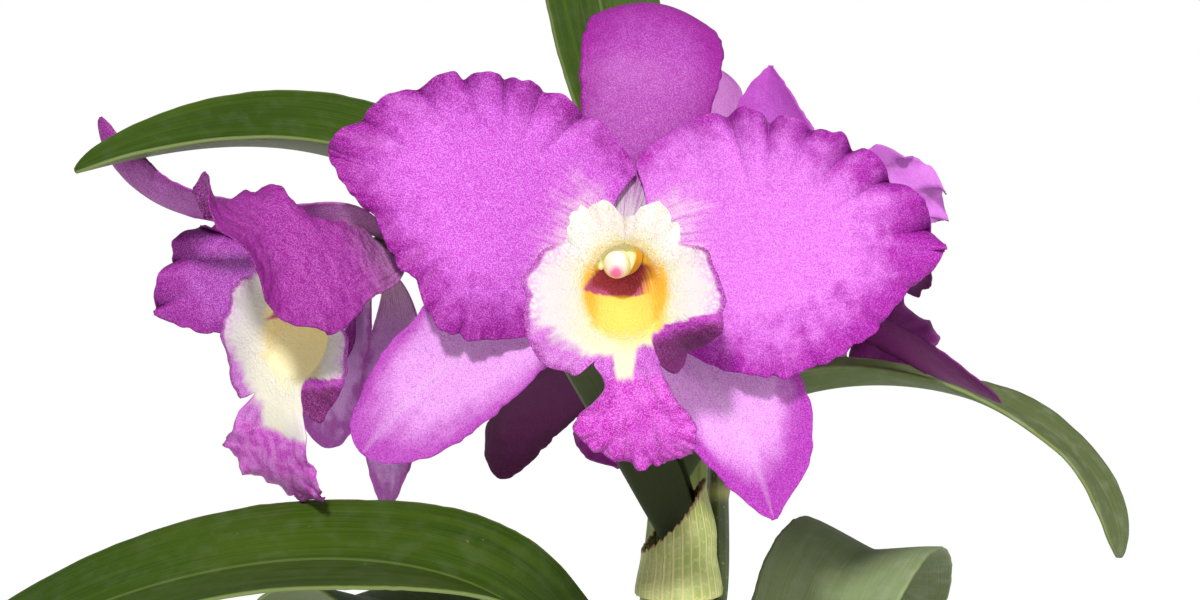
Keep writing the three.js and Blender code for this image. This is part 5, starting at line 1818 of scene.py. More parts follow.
    def sheet(self, tube: int, flare: int, tongue: int, side: int) -> Sheet:
        """The lip's middle surface in its bloom.

        Args:
            tube: The cells along the tube.
            flare: The cells from the mouth to the rim.
            tongue: The cells along the tongue.
            side: The cells round each half.

        Returns:
            The sheet. Its place is the share of a turn round the tube and a third of how far
            along it is, where 1 is the mouth, 2 the rim and 3 the end of the tongue. Its marks
            are hem, the share of the way from the mouth to the lobes' rim, wing, the share of the
            way from the tongue's middle to its margin, fuzz, how hairy it is, and spot, where it is.
        """
        v = np.linspace(1, -1, 2 * side + 1)
        s, t = np.linspace(0, 1, tube + 1), np.linspace(0, 1, flare + 1)[1:]
        share = np.linspace(0, 1, tongue + 1)[1:]
        half = round(side * self.tongue_share)
        inside, within = slice(side - half, side + half + 1), np.linspace(-1, 1, 2 * half + 1)
        wall = np.concatenate([self._tube(v, s), self._flare(v, t)])
        tip = self._tongue(wall[-1, inside], share, within)
        points = np.concatenate([wall.reshape(-1, 3), tip.reshape(-1, 3)])
        run, degrees = np.concatenate([s, 1 + t]), self.degrees(v)
        marks = self._marks(run, np.abs(degrees), inside, np.tile(np.abs(within), (tongue, 1)))
        thickness = lerp(self.thick, self.rim, smoothstep(marks.pop("edge"), 0.6, 1.0))
        marks["spot"] = points / SPOT
        turn = degrees / 360 + 0.5
        places = np.concatenate([grid_place(turn, run / 3), grid_place(turn[inside], (2 + share) / 3)])
        return Sheet(points, self._faces(tube + flare, 2 * side, inside, tongue), places, thickness, marks)

    @staticmethod
    def _faces(rows: int, columns: int, inside: slice, tongue: int) -> Array:
        """The quads of the wall, and of the tongue that goes on from a stretch of its last row."""
        rim = (rows * (columns + 1) + np.arange(columns + 1))[inside]
        tip = (rows + 1) * (columns + 1) + np.arange(tongue * len(rim)).reshape(tongue, -1)
        ids = np.vstack([rim, tip])
        quads = np.stack([ids[:-1, :-1], ids[:-1, 1:], ids[1:, 1:], ids[1:, :-1]], -1)
        return np.concatenate([grid_faces(rows, columns), quads.reshape(-1, 4)])

    @staticmethod
    def _marks(run: Array, out: Array, inside: slice, side: Array) -> dict[str, Array]:
        """The marks of the wall, from its places along and its degrees, and then those of the tongue."""
        ring = float(out[inside].max())
        past = np.clip(run - 1, 0, 1)[:, None]
        hem = past * smoothstep(out, ring - 2, ring + 8)
        fuzz = smoothstep(run, 0.62, 0.9)[:, None] * smoothstep(out, 100, 130)
        wing = past * np.clip(out / ring, 0, 1)
        pairs = {"hem": (hem, 0 * side), "wing": (wing, side), "fuzz": (fuzz, 0 * side), "edge": (hem, side**4)}
        return {name: np.concatenate([wall.ravel(), tip.ravel()]) for name, (wall, tip) in pairs.items()}


class Whorl(Enum):
    """The five tepals of a bloom."""

    DORSAL = "dorsal_sepal"
    LEFT_SEPAL = "left_sepal"
    RIGHT_SEPAL = "right_sepal"
    LEFT_PETAL = "left_petal"
    RIGHT_PETAL = "right_petal"

    @property
    def slot(self) -> str:
        """The material slot of the tepal."""
        return self.value.rsplit("_", 1)[1]


PETAL = Tepal(
    length=60, half_width=26.5, claw=0.1, peak=0.42, rise=0.32, fall=2, blunt=0.72, layer=0.3,
    bend=((0, 8), (0.5, 4), (1, -14)), cup=((0, 0), (0.5, 8), (1, -16))
)
STANDARD = {
    Whorl.DORSAL: Tepal(
        half_width=14, peak=0.68, bend=((0, 2), (0.45, -6), (0.75, -45), (1, -92)), cup=((0, 10), (0.5, -14), (1, -30))
    ),
    Whorl.LEFT_SEPAL: Tepal(angle=230, bend=((0, 0), (1, -12)), sway=((0.3, 0), (1, -20)), cup=((0, 12), (1, 10))),
    Whorl.RIGHT_SEPAL: Tepal(angle=310, bend=((0, 0), (1, -12)), sway=((0.3, 0), (1, 16)), cup=((0, 12), (1, 10))),
    Whorl.LEFT_PETAL: replace(
        PETAL, angle=171, left=((0.4, 1), (0.6, 0.72), (0.8, 0.5), (1, 0.5)),
        ruffle=Ruffle(phase=0.4, left=0.3, pleat=0.5, ragged=0.5, seed=2)
    ),
    Whorl.RIGHT_PETAL: replace(
        PETAL, angle=9, ruffle=Ruffle(phase=1.4, right=0.3, pleat=0.5, burst=(-0.5, 0.45, 1.0), ragged=0.5, seed=3)
    )
}


@dataclass(frozen=True)
class Palette:
    """The skins of one bloom's tepals, named as in Whorl, and of its lip."""

    dorsal_sepal: TepalFinish = TepalFinish(
        light=(0.32, 0.035, 0.32), deep=(0.26, 0.008, 0.24), foot=(0.58, 0.52, 0.54), foot_reach=0.24, foot_width=1.6,
        sparkle=0.18, deep_end=0.3, patches=0.5, stripes=0.15
    )
    left_sepal: TepalFinish = TepalFinish(
        light=(0.71, 0.32, 0.74), deep=(0.42, 0.055, 0.43), hem_from=0.32, foot=(0.72, 0.50, 0.72), foot_width=1.6,
        deep_end=0.1, sparkle=0.35, patches=0.3, keel=0.25
    )
    right_sepal: TepalFinish = TepalFinish(
        light=(0.71, 0.32, 0.74), deep=(0.38, 0.03, 0.39), hem_from=0.4, foot=(0.72, 0.50, 0.72), foot_width=1.6,
        deep_end=0.45, sparkle=0.35, patches=0.3, keel=0.25
    )
    left_petal: TepalFinish = TepalFinish(light=(0.51, 0.075, 0.54), deep=(0.27, 0.004, 0.25), lean=-0.22)
    # The right petal's skin is lighter than the left's: painted light for the brighter light that it catches.
    right_petal: TepalFinish = TepalFinish(light=(0.60, 0.14, 0.63), deep=(0.32, 0.005, 0.31), lean=0.14, deep_end=0.35)
    lip: LipFinish = LipFinish()

    def finish(self, whorl: Whorl) -> TepalFinish:
        """The skin of one tepal."""
        return getattr(self, whorl.value)


@dataclass
class Column:
    """The club in the lip's tube, with the anther cap at its end."""

    length: float = 17.5
    start: float = 2.1

    def form(self) -> Form:
        """The column in its bloom, with its spots marked."""
        end = self.start + self.length
        path = Cubic(((0, 0, self.start), (-0.3, -0.4, self.start + 7), (-1.1, -1, self.start + 12), (-1.7, -1.5, end)))
        stops = (
            (0, 4.1), (0.08, 4.0), (0.22, 2.6), (0.6, 2.4), (0.8, 2.9), (0.86, 2.6), (0.885, 2.35), (0.91, 2.8),
            (0.97, 2.6), (1, 2.3)
        )
        return spotted(stem_form(path, lambda u: along(stops, u), 70, 36, (0.6, 1.7)))

    def wing(self, side: float) -> Form:
        """One of the two narrow wings beside the cap."""
        end = self.start + self.length
        path = Cubic(
            (
                (side * 0.3 - 1.6, 2.0, end - 5), (side * 3.3 - 1.7, 2.2, end - 4.5),
                (side * 3.6 - 1.8, 0.2, end - 3.2), (side * 2.6 - 1.8, -2.3, end - 2)
            )
        )
        stops = ((0, 0.9), (0.5, 1.1), (1, 0.6))
        return spotted(stem_form(path, lambda u: along(stops, u), 30, 14, (0.4, 0.5)))


def hair_tree() -> NodeTree:
    """The tree that sets short hairs on a lip, as thickly as its mark says."""
    b = TreeBuilder("lip_hairs", {"Density": "float", "Seed": "int", "Hairs": "material"})
    upper = b.node("ShaderNodeMath", {"operation": "LESS_THAN"}, {0: b.named("underside"), 1: 0.5}).outputs[0]
    density = b.product(b.product(b.named("fuzz"), upper), b.inputs["Density"])
    spread = b.node(
        "GeometryNodeDistributePointsOnFaces", None,
        {"Mesh": b.inputs["Geometry"], "Density": density, "Seed": b.inputs["Seed"]}
    )
    hair = b.node(
        "GeometryNodeMeshCone", None, {"Vertices": 3, "Radius Top": 0.0, "Radius Bottom": 0.05 * MM, "Depth": 0.7 * MM}
    )
    tilt = b.node("FunctionNodeRotateRotation", {"rotation_space": "LOCAL"}, {0: spread.outputs["Rotation"]})
    b.tree.links.new(b.chance("FLOAT_VECTOR", (-0.5, -0.5, 0.0), (0.5, 0.5, 3.0), 5), tilt.inputs[1])
    placed = b.node(
        "GeometryNodeInstanceOnPoints", None,
        {
            "Points": spread.outputs["Points"], "Instance": hair.outputs["Mesh"], "Rotation": tilt.outputs[0],
            "Scale": b.chance("FLOAT_VECTOR", (0.7, 0.7, 0.5), (1.2, 1.2, 1.2), 6)
        }
    )
    return b.finish(placed.outputs["Instances"], b.inputs["Hairs"])


STALK = Through(((15.5, 7.6, 200), (17, 9.6, 208), (17, 8.4, 230), (16, 9, 250), (11, 12, 268), (8, 13, 281)))
STALK_RADIUS = 2.2
RECEPTACLE_RADIUS, RECEPTACLE_FRONT, RECEPTACLE_BACK = 4.3, 1.8, -4.0
TEPAL_CELLS = {
    ("petal", True): (180, 96), ("petal", False): (90, 46), ("sepal", True): (90, 36), ("sepal", False): (60, 24)
}
LIP_CELLS = {True: (30, 50, 72, 105), False: (14, 22, 32, 48)}


@dataclass
class Bloom:
    """One bloom: its five tepals, its lip and column, and the pedicel that holds it."""

    name: str
    frame_: BloomFrame
    stalk_at: float
    leave: Triple
    reach: tuple[float, float] = (12.0, 12.0)
    lip: LipShape = LipShape()
    lip_turn: float = 0.0
    tepals: dict[Whorl, dict] = field(default_factory=dict)
    palette: Palette = Palette()
    fine: bool = False
    hairs: float = 0.0
    seed: int = 0

    def build(self) -> None:
        """Builds and dresses the bloom's pieces."""
        for index, whorl in enumerate(Whorl):
            self._tepal(whorl, index)
        self._lip()
        self._column()
        self._pedicel()

    def _dress(self, name: str, form: Form, material: Material, slot: str) -> None:
        """Makes a piece of the bloom from a form in the plant."""
        piece(f"{self.name}_{name}", form, material, slot, f"bloom_{self.name}_{name}")

    def _tepal(self, whorl: Whorl, index: int) -> None:
        """Builds one tepal."""
        tepal = replace(STANDARD[whorl], **self.tepals.get(whorl, {}))
        tepal = replace(tepal, ruffle=replace(tepal.ruffle, seed=tepal.ruffle.seed + 10 * self.seed + index))
        sheet = tepal.sheet(tepal.spine(self.frame_), *TEPAL_CELLS[whorl.slot, self.fine])
        sheet.points = self.frame_.to_plant(sheet.points)
        material = self.palette.finish(whorl).material(f"{self.name}_{whorl.value}")
        self._dress(whorl.value, sheet.form(), material, whorl.slot)

    def _lip(self) -> None:
        """Builds the lip."""
        sheet = self.lip.sheet(*LIP_CELLS[self.fine])
        sheet.points = self.frame_.to_plant(self._lip_turned(sheet.points))
        form = sheet.form()
        self._dress("lip", form, self.palette.lip.material(f"{self.name}_lip"), "lip")
        if self.hairs:
            finish = FuzzFinish().material(f"{self.name}_hairs")
            host = new_object(f"{self.name}_lip_hairs", mesh_from(f"{self.name}_hairs", form), finish)
            TreeBuilder.grow(host, hair_tree(), {"Density": self.hairs, "Seed": self.seed, "Hairs": finish})
            dressed(host, "lip")

    def _lip_turned(self, points: Array) -> Array:
        """Points of the lip or the column, turned in the bloom."""
        return turned(points, UP, math.radians(self.lip_turn))

    def _column(self) -> None:
        """Builds the column."""
        column, finish = Column(), ColumnFinish().material(f"{self.name}_column")
        forms = [
            form._replace(points=self.frame_.to_plant(self._lip_turned(form.points)))
            for form in (column.form(), column.wing(-1), column.wing(1))
        ]
        self._dress("column", forms[0], finish, "column")
        for side, form in zip(("left", "right"), forms[1:]):
            piece(f"{self.name}_column_{side}_wing", form, finish, "column")

    def _pedicel(self) -> None:
        """Builds the pedicel, with the ovary and the receptacle at its end."""
        front = unit(np.array(self.frame_.facing))
        leave = unit(np.array(self.leave))
        stalk = STALK.at(STALK.even(np.array([self.stalk_at])))[0]
        start = stalk + leave * (STALK_RADIUS + 2 * GAP)
        end = np.array(self.frame_.centre) + front * RECEPTACLE_FRONT
        away, home = self.reach
        path = Cubic((start, start + leave * away, end - front * home, end))
        knob = (RECEPTACLE_FRONT - RECEPTACLE_BACK) / path.length()
        profile = (
            (0, 1.9), (1 - 3.2 * knob, 2.1), (1 - 2.1 * knob, 2.8), (1 - knob, 3.4),
            (1 - 0.8 * knob, RECEPTACLE_RADIUS), (1 - 0.1 * knob, RECEPTACLE_RADIUS), (1, RECEPTACLE_RADIUS - 0.4)
        )
        form = stem_form(path, lambda u: along(profile, u), 90, 32, (0.5, 0.9), 0.12)
        finish = StalkFinish(start=(0.05, 0.012, 0.006), end=(0.06, 0.03, 0.008), ring_at=2.0, turns=0.6)
        self._dress("pedicel", form, finish.material(f"{self.name}_pedicel"), "pedicel")


BASE_LOBE = ((0, 0), (0.05, 4.5), (0.2, 2.5), (0.4, 0))
LEFT_FACING, RIGHT_FACING, BACK_FACING = (-0.6, -0.75, -0.3), (0.45, 0.82, 0.35), (-0.3, 0.94, 0.1)
# The back bloom's sepals are made far darker than their purple: painted shade, for where they lie behind the front
# bloom.
SHADED_SEPAL = TepalFinish(
    light=(0.16, 0.010, 0.12), deep=(0.07, 0.004, 0.045), foot=(0.2, 0.02, 0.15), reverse=(0.08, 0.005, 0.055),
    sparkle=0.05
)
DEEP_PETAL = TepalFinish(light=(0.46, 0.06, 0.45), deep=(0.28, 0.015, 0.26))
# The back bloom's skins, with its sepals in painted shade.
BACK_PALETTE = Palette(
    TepalFinish(light=(0.36, 0.04, 0.33), deep=(0.18, 0.010, 0.15), foot=(0.40, 0.10, 0.37)), SHADED_SEPAL, SHADED_SEPAL,
    DEEP_PETAL, DEEP_PETAL
)
# Paler than the front bloom's sepals, as painted light where the left bloom's sepals lie in shade behind its lip.
LIGHTENED_LILAC_SEPAL = TepalFinish(
    light=(0.74, 0.38, 0.80), deep=(0.46, 0.09, 0.47), hem_from=0.5, reverse=(0.68, 0.42, 0.74), foot_width=1.6,
    sparkle=0.3
)
LEFT_PALETTE = Palette(
    TepalFinish(light=(0.36, 0.05, 0.36), deep=(0.20, 0.012, 0.18), foot=(0.5, 0.2, 0.46), foot_width=1.6, sparkle=0.3),
    LIGHTENED_LILAC_SEPAL, LIGHTENED_LILAC_SEPAL,
    TepalFinish(light=(0.36, 0.05, 0.40), deep=(0.26, 0.015, 0.25), reverse=(0.34, 0.06, 0.36), sparkle=0.35),
    TepalFinish(
        light=(0.29, 0.011, 0.26), deep=(0.17, 0.003, 0.14), reverse=(0.28, 0.014, 0.25), sparkle=0.45, foot_reach=0.4,
        foot_width=1.4, crumple=1.6
    ),
    LipFinish(
        yellow=(0.70, 0.65, 0.38), gold=(0.66, 0.54, 0.26), cream=(0.70, 0.67, 0.52), magenta=(0.55, 0.04, 0.52),
        light=(0.66, 0.18, 0.66), tongue_from=28.5, ribbon=0.0
    )
)
PURPLE_SEPAL = TepalFinish(
    light=(0.24, 0.02, 0.20), deep=(0.11, 0.008, 0.09), reverse=(0.18, 0.015, 0.15), foot=(0.26, 0.06, 0.22),
    sparkle=0.15
)
RIGHT_PALETTE = Palette(
    TepalFinish(light=(0.50, 0.08, 0.54), deep=(0.34, 0.03, 0.34), reverse=(0.50, 0.09, 0.54)), PURPLE_SEPAL,
    PURPLE_SEPAL,
    TepalFinish(light=(0.60, 0.14, 0.65), deep=(0.42, 0.05, 0.42), reverse=(0.64, 0.22, 0.70), stripes=0.15),
    TepalFinish(light=(0.30, 0.03, 0.30), deep=(0.16, 0.01, 0.15), reverse=(0.22, 0.02, 0.20)),
    LipFinish(
        magenta=(0.20, 0.008, 0.18), light=(0.24, 0.02, 0.22), deep=(0.10, 0.003, 0.09), reverse=(0.16, 0.01, 0.14)
    )
)
BLOOMS = (
    Bloom(
        "front", BloomFrame((-3.6, -22, 284), (0.02, -0.99, 0.1), -11), stalk_at=0.86, leave=(-0.2, -1, 0.2),
        reach=(12, 14), lip=LipShape(lobes=(1, 0.94), curls=(0, 70), drift=4.5, necks=(4.4, 8), blade=12), lip_turn=11,
        fine=True, hairs=9.0e6, seed=1,
        tepals={
            Whorl.DORSAL: dict(angle=92, length=58.5, half_width=14.6),
            Whorl.LEFT_SEPAL: dict(
                angle=222, length=62.5, half_width=13.8, right=((0.4, 1), (0.65, 0.8), (0.85, 0.72), (1, 0.8))
            ),
            Whorl.RIGHT_SEPAL: dict(
                angle=316, length=58, half_width=13, start=5, peak=0.56, fall=1.7, blunt=0.72,
                left=((0.2, 1), (0.5, 1.25), (0.85, 1.3), (1, 0.9)), right=((0.2, 1), (0.5, 0.8), (1, 0.72))
            ),
            Whorl.LEFT_PETAL: dict(length=58, sweep_right=BASE_LOBE),
            Whorl.RIGHT_PETAL: dict(
                angle=12, left=((0.1, 1.12), (0.3, 1.12), (0.45, 1.03), (0.6, 1)),
                right=((0.1, 0.92), (0.45, 0.94), (0.7, 0.86), (0.9, 0.66), (1, 0.6)), sweep_left=BASE_LOBE
            )
        }
    ),
    Bloom(
        "left", BloomFrame((-55, -6, 281), LEFT_FACING, -14), stalk_at=0.98, leave=(-0.7, -1, 0.1), reach=(30, 16),
        lip=LipShape(lobes=(0.85, 0.6), reach=23.6, curls=(0, 30), necks=(9, 9), blade=13, seed=51),
        palette=LEFT_PALETTE, hairs=5.0e6, seed=2,
        tepals={
            Whorl.DORSAL: dict(
                lead=12, half_width=10, left=((0.1, 1), (0.35, 0.62), (1, 0.45)), right=((0.7, 1), (1, 0.4)),
                way=(-106, 10, 275), tip=(-112, 10.5, 309),
                faces=((0, LEFT_FACING), (0.3, (-0.1, -0.4, -0.9)), (1, (-0.2, -0.6, -0.7)))
            ),
            Whorl.LEFT_PETAL: dict(
                angle=182, lead=12, right=((0, 0.2), (0.5, 0.3), (0.8, 0.8)), way=(-80, 22, 274), tip=(-104, 25, 266),
                faces=((0, LEFT_FACING), (0.5, (-0.3, -0.9, 0.2)), (1, (-0.2, -0.9, 0.1)))
            ),
            Whorl.RIGHT_PETAL: dict(
                angle=33, lead=8, ruffle=Ruffle(count=9, height=0.7, pleat=0.4, frill=0.3, seed=3),
                left=((0, 0.2), (0.5, 0.15), (0.75, 0.5), (1, 0.8)),
                right=((0, 0.2), (0.25, 0.45), (0.5, 0.85), (0.8, 0.75)), way=(-67, -43, 290), tip=(-88, -32, 298),
                faces=(
                    (0, LEFT_FACING), (0.22, (-0.2, 0.75, -0.6)), (0.6, (0, 0.8, -0.6)), (0.8, (0, 0.3, -0.95)),
                    (1, (-0.2, -0.9, -0.3))
                )
            ),
            Whorl.LEFT_SEPAL: dict(
                start=4.4, half_width=10, way=(-64, 13, 258), tip=(-67, 16, 238),
                faces=((0, LEFT_FACING), (1, (-0.6, -0.8, 0)))
            ),
            Whorl.RIGHT_SEPAL: dict(
                start=5, half_width=10, fall=1.5, blunt=0.9, way=(-52, -6, 250), tip=(-53, 1, 226),
                faces=((0, LEFT_FACING), (1, (-0.8, -0.6, 0)))
            )
        }
    ),
    Bloom(
        "right", BloomFrame((38, 28, 274), RIGHT_FACING), stalk_at=0.72, leave=(1, 0.3, 0.2),
        lip=LipShape(lobes=(0.7, 0.7), seed=71), palette=RIGHT_PALETTE, seed=3,
        tepals={
            Whorl.DORSAL: dict(
                lead=12, half_width=12, peak=0.5, fall=1.5, blunt=0.8, way=(26.4, 24, 300), tip=(28.4, 28, 318.5),
                faces=((0, RIGHT_FACING), (1, (0.5, 0.9, 0)))
            ),
            Whorl.LEFT_PETAL: dict(
                lead=8, half_width=24, left=((0.2, 0.5), (0.6, 0.3), (1, 0.2)),
                right=((0.35, 1), (0.5, 1.2), (0.6, 0.82), (1, 0.8)), way=(48.8, 14, 289), tip=(65.2, 22, 287),
                faces=((0, RIGHT_FACING), (0.5, (0.5, 0.9, 0)), (1, (0.1, 0.9, 0.3)))
            ),
            Whorl.LEFT_SEPAL: dict(
                half_width=8, way=(52, 9, 263), tip=(76, 5, 249.4),
                faces=((0, RIGHT_FACING), (0.5, (0.5, 0.4, 0.6)), (1, (0.3, 0.3, 0.9)))
            ),
            Whorl.RIGHT_SEPAL: dict(angle=300, length=50, half_width=11, bend=((0, 14), (0.25, 42), (1, 40))),
            Whorl.RIGHT_PETAL: dict(
                angle=16, half_width=20, right=((0, 0.5), (0.4, 0.8)), bend=((0, 20), (0.4, 60), (1, 70))
            )
        }
    ),
    Bloom(
        "back", BloomFrame((8, 28, 262), BACK_FACING), stalk_at=0.6, leave=(-0.2, 1, 0.1), reach=(8, 14),
        palette=BACK_PALETTE, seed=4,
        tepals={
            Whorl.DORSAL: dict(
                lead=14, half_width=11, way=(8, 34, 292), tip=(17.5, 44, 316.8),
                faces=((0, BACK_FACING), (1, (0.1, 0.9, 0.1)))
            ),
            Whorl.RIGHT_SEPAL: dict(
                lead=8, half_width=7.5, way=(-25, 40, 252), tip=(-31, 60, 222.6),
                faces=((0, BACK_FACING), (0.5, (0.4, 0.9, 0.3)), (1, (0.4, 0.8, 0.6)))
            ),
            Whorl.LEFT_SEPAL: dict(
                start=5, lead=4, way=(13, 44, 254), tip=(16, 60, 234), faces=((0, BACK_FACING), (1, (-0.6, 0.2, 0.8)))
            ),
            Whorl.LEFT_PETAL: dict(angle=106, length=48, half_width=12, bend=((0, 16), (0.5, 36), (1, 36))),
            Whorl.RIGHT_PETAL: dict(
                angle=22, length=52, half_width=19, left=((0, 0.5), (1, 0.7)), right=((0, 0.4), (0.4, 0.9)),
                bend=((0, 16), (0.5, 44), (1, 46))
            )
        }
    )
)


# Shoots

RHIZOME_HEIGHT, RHIZOME_RADIUS = 101.0, 4.2
# How far a leaf's foot reaches into its pseudobulb
LEAF_SUNK = 1.5


@dataclass
class Shoot:
    """A pseudobulb and its one leaf."""

    name: str
    foot: tuple[float, float]
    top: Triple
    lean: tuple[float, float]
    girth: float
    neck: float
    path: tuple[Triple, Triple, Triple, Triple]
    heading: Triple
    half_width: float
    roll: Stops
    fold: Stops
    sink: float = 0.0
    leaf_finish: LeafFinish = LeafFinish()

    def build(self) -> None:
        """Builds the pseudobulb and the leaf."""
        self._bulb()
        self._leaf()

    def _bulb(self) -> None:
        """A grooved club with a ring at each of its joints."""
        base = RHIZOME_HEIGHT + RHIZOME_RADIUS + GAP - self.sink
        middle = lerp(base, self.top[2], 0.45)
        axis = Cubic(
            (
                (*self.foot, base), (*self.lean, middle), (self.top[0], self.top[1], lerp(middle, self.top[2], 0.5)),
                self.top
            )
        )
        stops = ((0, 4.4), (0.55, self.girth), (0.8, self.girth), (1, self.neck))

        def radius(u: Array) -> Array:
            ring = sum(np.exp(-(((u - place) / 0.012) ** 2)) for place in BulbFinish().nodes)
            return along(stops, u) + 0.5 * ring

        name = f"bulb_{self.name}"
        form = stem_form(axis, radius, 150, 72, (0.8, 1.6), 0.45)
        piece(name, form, BulbFinish().material(name), "pseudobulb", f"pseudo{name}")

    def _leaf(self) -> None:
        """A stiff strap leaf, folded at its foot."""
        blade = Blade(
            length=120, half_width=self.half_width, claw=0.46, peak=0.45, rise=0.6, fall=3, blunt=0.55, crease=1.2,
            fold=self.fold, ruffle=Ruffle(height=0.0, frill=0.1, ragged=0.12, seed=len(self.name)), thick=1.6, rim=0.7
        )
        foot, after = (np.array(point) for point in self.path[:2])
        foot = foot - unit(after - foot) * LEAF_SUNK
        form = blade.sheet(leaf_spine((tuple(foot), *self.path[1:]), self.heading, self.roll), 120, 40).form()
        node = f"leaf_{self.name}"
        piece(f"{node}_blade", form, self.leaf_finish.material(node), "leaf", node)


SHOOTS = (
    Shoot(
        "central", (4, -3), (8.5, 0, 220), (7, 1), 8.6, 6.6,
        ((6, 0, 220.6), (-22.9, 16, 266), (-40.4, 30, 320.5), (-115.4, -3, 298.9)), (-1, 0.05, 0), 18,
        ((0, 0), (0.35, -8), (1, -16)), ((0, 74), (0.2, 66), (0.42, 36), (1, 24))
    ),
    Shoot(
        "behind", (7, 14), (8, 24, 226), (9, 22), 7.5, 5.5,
        ((9, 24, 226.6), (22.9, 34, 264), (103, 31, 254.5), (103.8, 20, 213)), (1, -0.1, 0), 13,
        ((0, 0), (0.5, -5), (0.75, 8), (1, 26)), ((0, 68), (0.25, 30), (0.6, 8), (1, 4)), 0.0,
        LeafFinish(top=(0.13, 0.16, 0.055), dark=(0.08, 0.11, 0.03), dust_and_sheen=0.2)
    ),
    Shoot(
        "tall", (2, 42), (12, 74, 246), (9, 60), 7.5, 5.5,
        ((12, 74, 247.1), (-5, 72, 290), (-13, 80, 372), (-28, 118, 420)), (-0.35, 1, 0), 14, PLAIN,
        ((0, 64), (0.2, 46), (0.5, 14), (1, 8)), 1.2
    ),
    Shoot(
        "left", (-15, -16), (-13, -26, 180), (-17, -22), 8.5, 5.5,
        ((-13, -26, 181.3), (-3, -29.5, 237), (-107, -26, 238), (-163, -32, 177)), (-1, 0, 0), 19,
        ((0, 0), (0.4, -16), (1, -16)), ((0, 66), (0.22, 30), (0.5, 14), (1, 8)), 0.7
    ),
    Shoot(
        "right", (24, 20), (33, 34, 152), (30, 26), 8.5, 5.5,
        ((33, 34, 152.6), (37, 36, 208), (60, 58, 229), (66, 122, 166)), (0.4, 1, 0), 17.5, ((0, 8), (1, 8)),
        ((0, 62), (0.2, 30), (0.5, 18), (1, 10)), 0.8,
        # A paler leaf than the rest: painted light where it lies in the blooms' shade.
        LeafFinish(top=(0.24, 0.30, 0.14), dark=(0.18, 0.235, 0.10), dust_and_sheen=0.3)
    ),
    Shoot(
        "rear", (-20, 24), (-33, 40, 150), (-28, 31), 8, 5.5,
        ((-33, 40, 150.6), (-38, 44, 196), (-72, 84, 214), (-96, 126, 146)), (-0.55, 1, 0), 17, ((0, 0), (1, 6)),
        ((0, 62), (0.2, 34), (0.5, 16), (1, 10))
    ),
    Shoot(
        "front", (18, -22), (31, -36, 140), (25, -29), 7.5, 5.2,
        ((31, -36, 140.6), (36, -40, 184), (80, -66, 200), (118, -92, 128)), (1, -0.55, 0), 16, ((0, 0), (1, 8)),
        ((0, 62), (0.2, 34), (0.5, 16), (1, 10))
    )
)


@dataclass
class Sheath:
    """The sheath that clasps the foot of the central leaf, with an oblique, ragged mouth."""

    low_end: float = 210.0
    low: float = 219.0
    high: float = 234.0
    foot: float = 9.0
    mouth: float = 7.7
    taper: float = 0.3
    middle: tuple[float, float] = (8.5, 0.0)
    wall: float = 0.55
    rows: int = 90
    columns: int = 180

    def build(self) -> None:
        """Builds the sheath with its raised veins."""
        turn = np.linspace(0, 2 * math.pi, self.columns, endpoint=False)
        rise = (1 + np.cos(turn)) / 2
        top = lerp(self.low, self.high, rise) + 0.45 * ripple(turn * 5, 5)
        share = np.linspace(0, 1, self.rows + 1)[:, None]
        z = lerp(self.low_end, top[None], share)
        radius = lerp(self.foot, self.mouth, smoothstep(z, self.low_end, self.low))
        veins = 0.5 + 0.5 * np.sin(26 * turn + 0.6 * np.sin(z / 4))
        reach = radius * (1 - self.taper * smoothstep(z, self.low + 3, self.high)) - 0.12 + 0.12 * veins**3
        points = np.stack([self.middle[0] + reach * np.cos(turn), self.middle[1] + reach * np.sin(turn), z], -1)
        around = ((turn - math.pi / 2) / (2 * math.pi)) % 1
        place = grid_place(around, share[:, 0])
        points, faces = points.reshape(-1, 3), ring_faces(self.rows + 1, self.columns)
        form = Sheet(points, faces, place, np.full(len(points), self.wall)).form()
        piece("sheath", form, SheathFinish().material("sheath"), "sheath", "leaf_sheath")


@dataclass
class Stalk:
    """The flower stalk, with one joint."""

    joint: float = 0.37

    def build(self) -> None:
        """Builds the stalk."""

        def radius(u: Array) -> Array:
            ring = np.exp(-(((u - self.joint) / 0.014) ** 2))
            return STALK_RADIUS * lerp(1.0, 0.8, smoothstep(u, 0.94, 0.98)) + 0.4 * ring

        form = stem_form(STALK, radius, 160, 40, (0.8, 1.2), 0.1)
        finish = StalkFinish(start=(0.04, 0.06, 0.005), end=(0.085, 0.105, 0.028), ring_at=self.joint, turns=0.42)
        piece("stalk", form, finish.material("stalk"), "stalk", "flower_stalk")


# Rhizome


class Run(NamedTuple):
    """A root: where it leaves the rhizome, where it ends, and how far its end dips."""

    start: tuple[float, float]
    end: tuple[float, float]
    dip: float


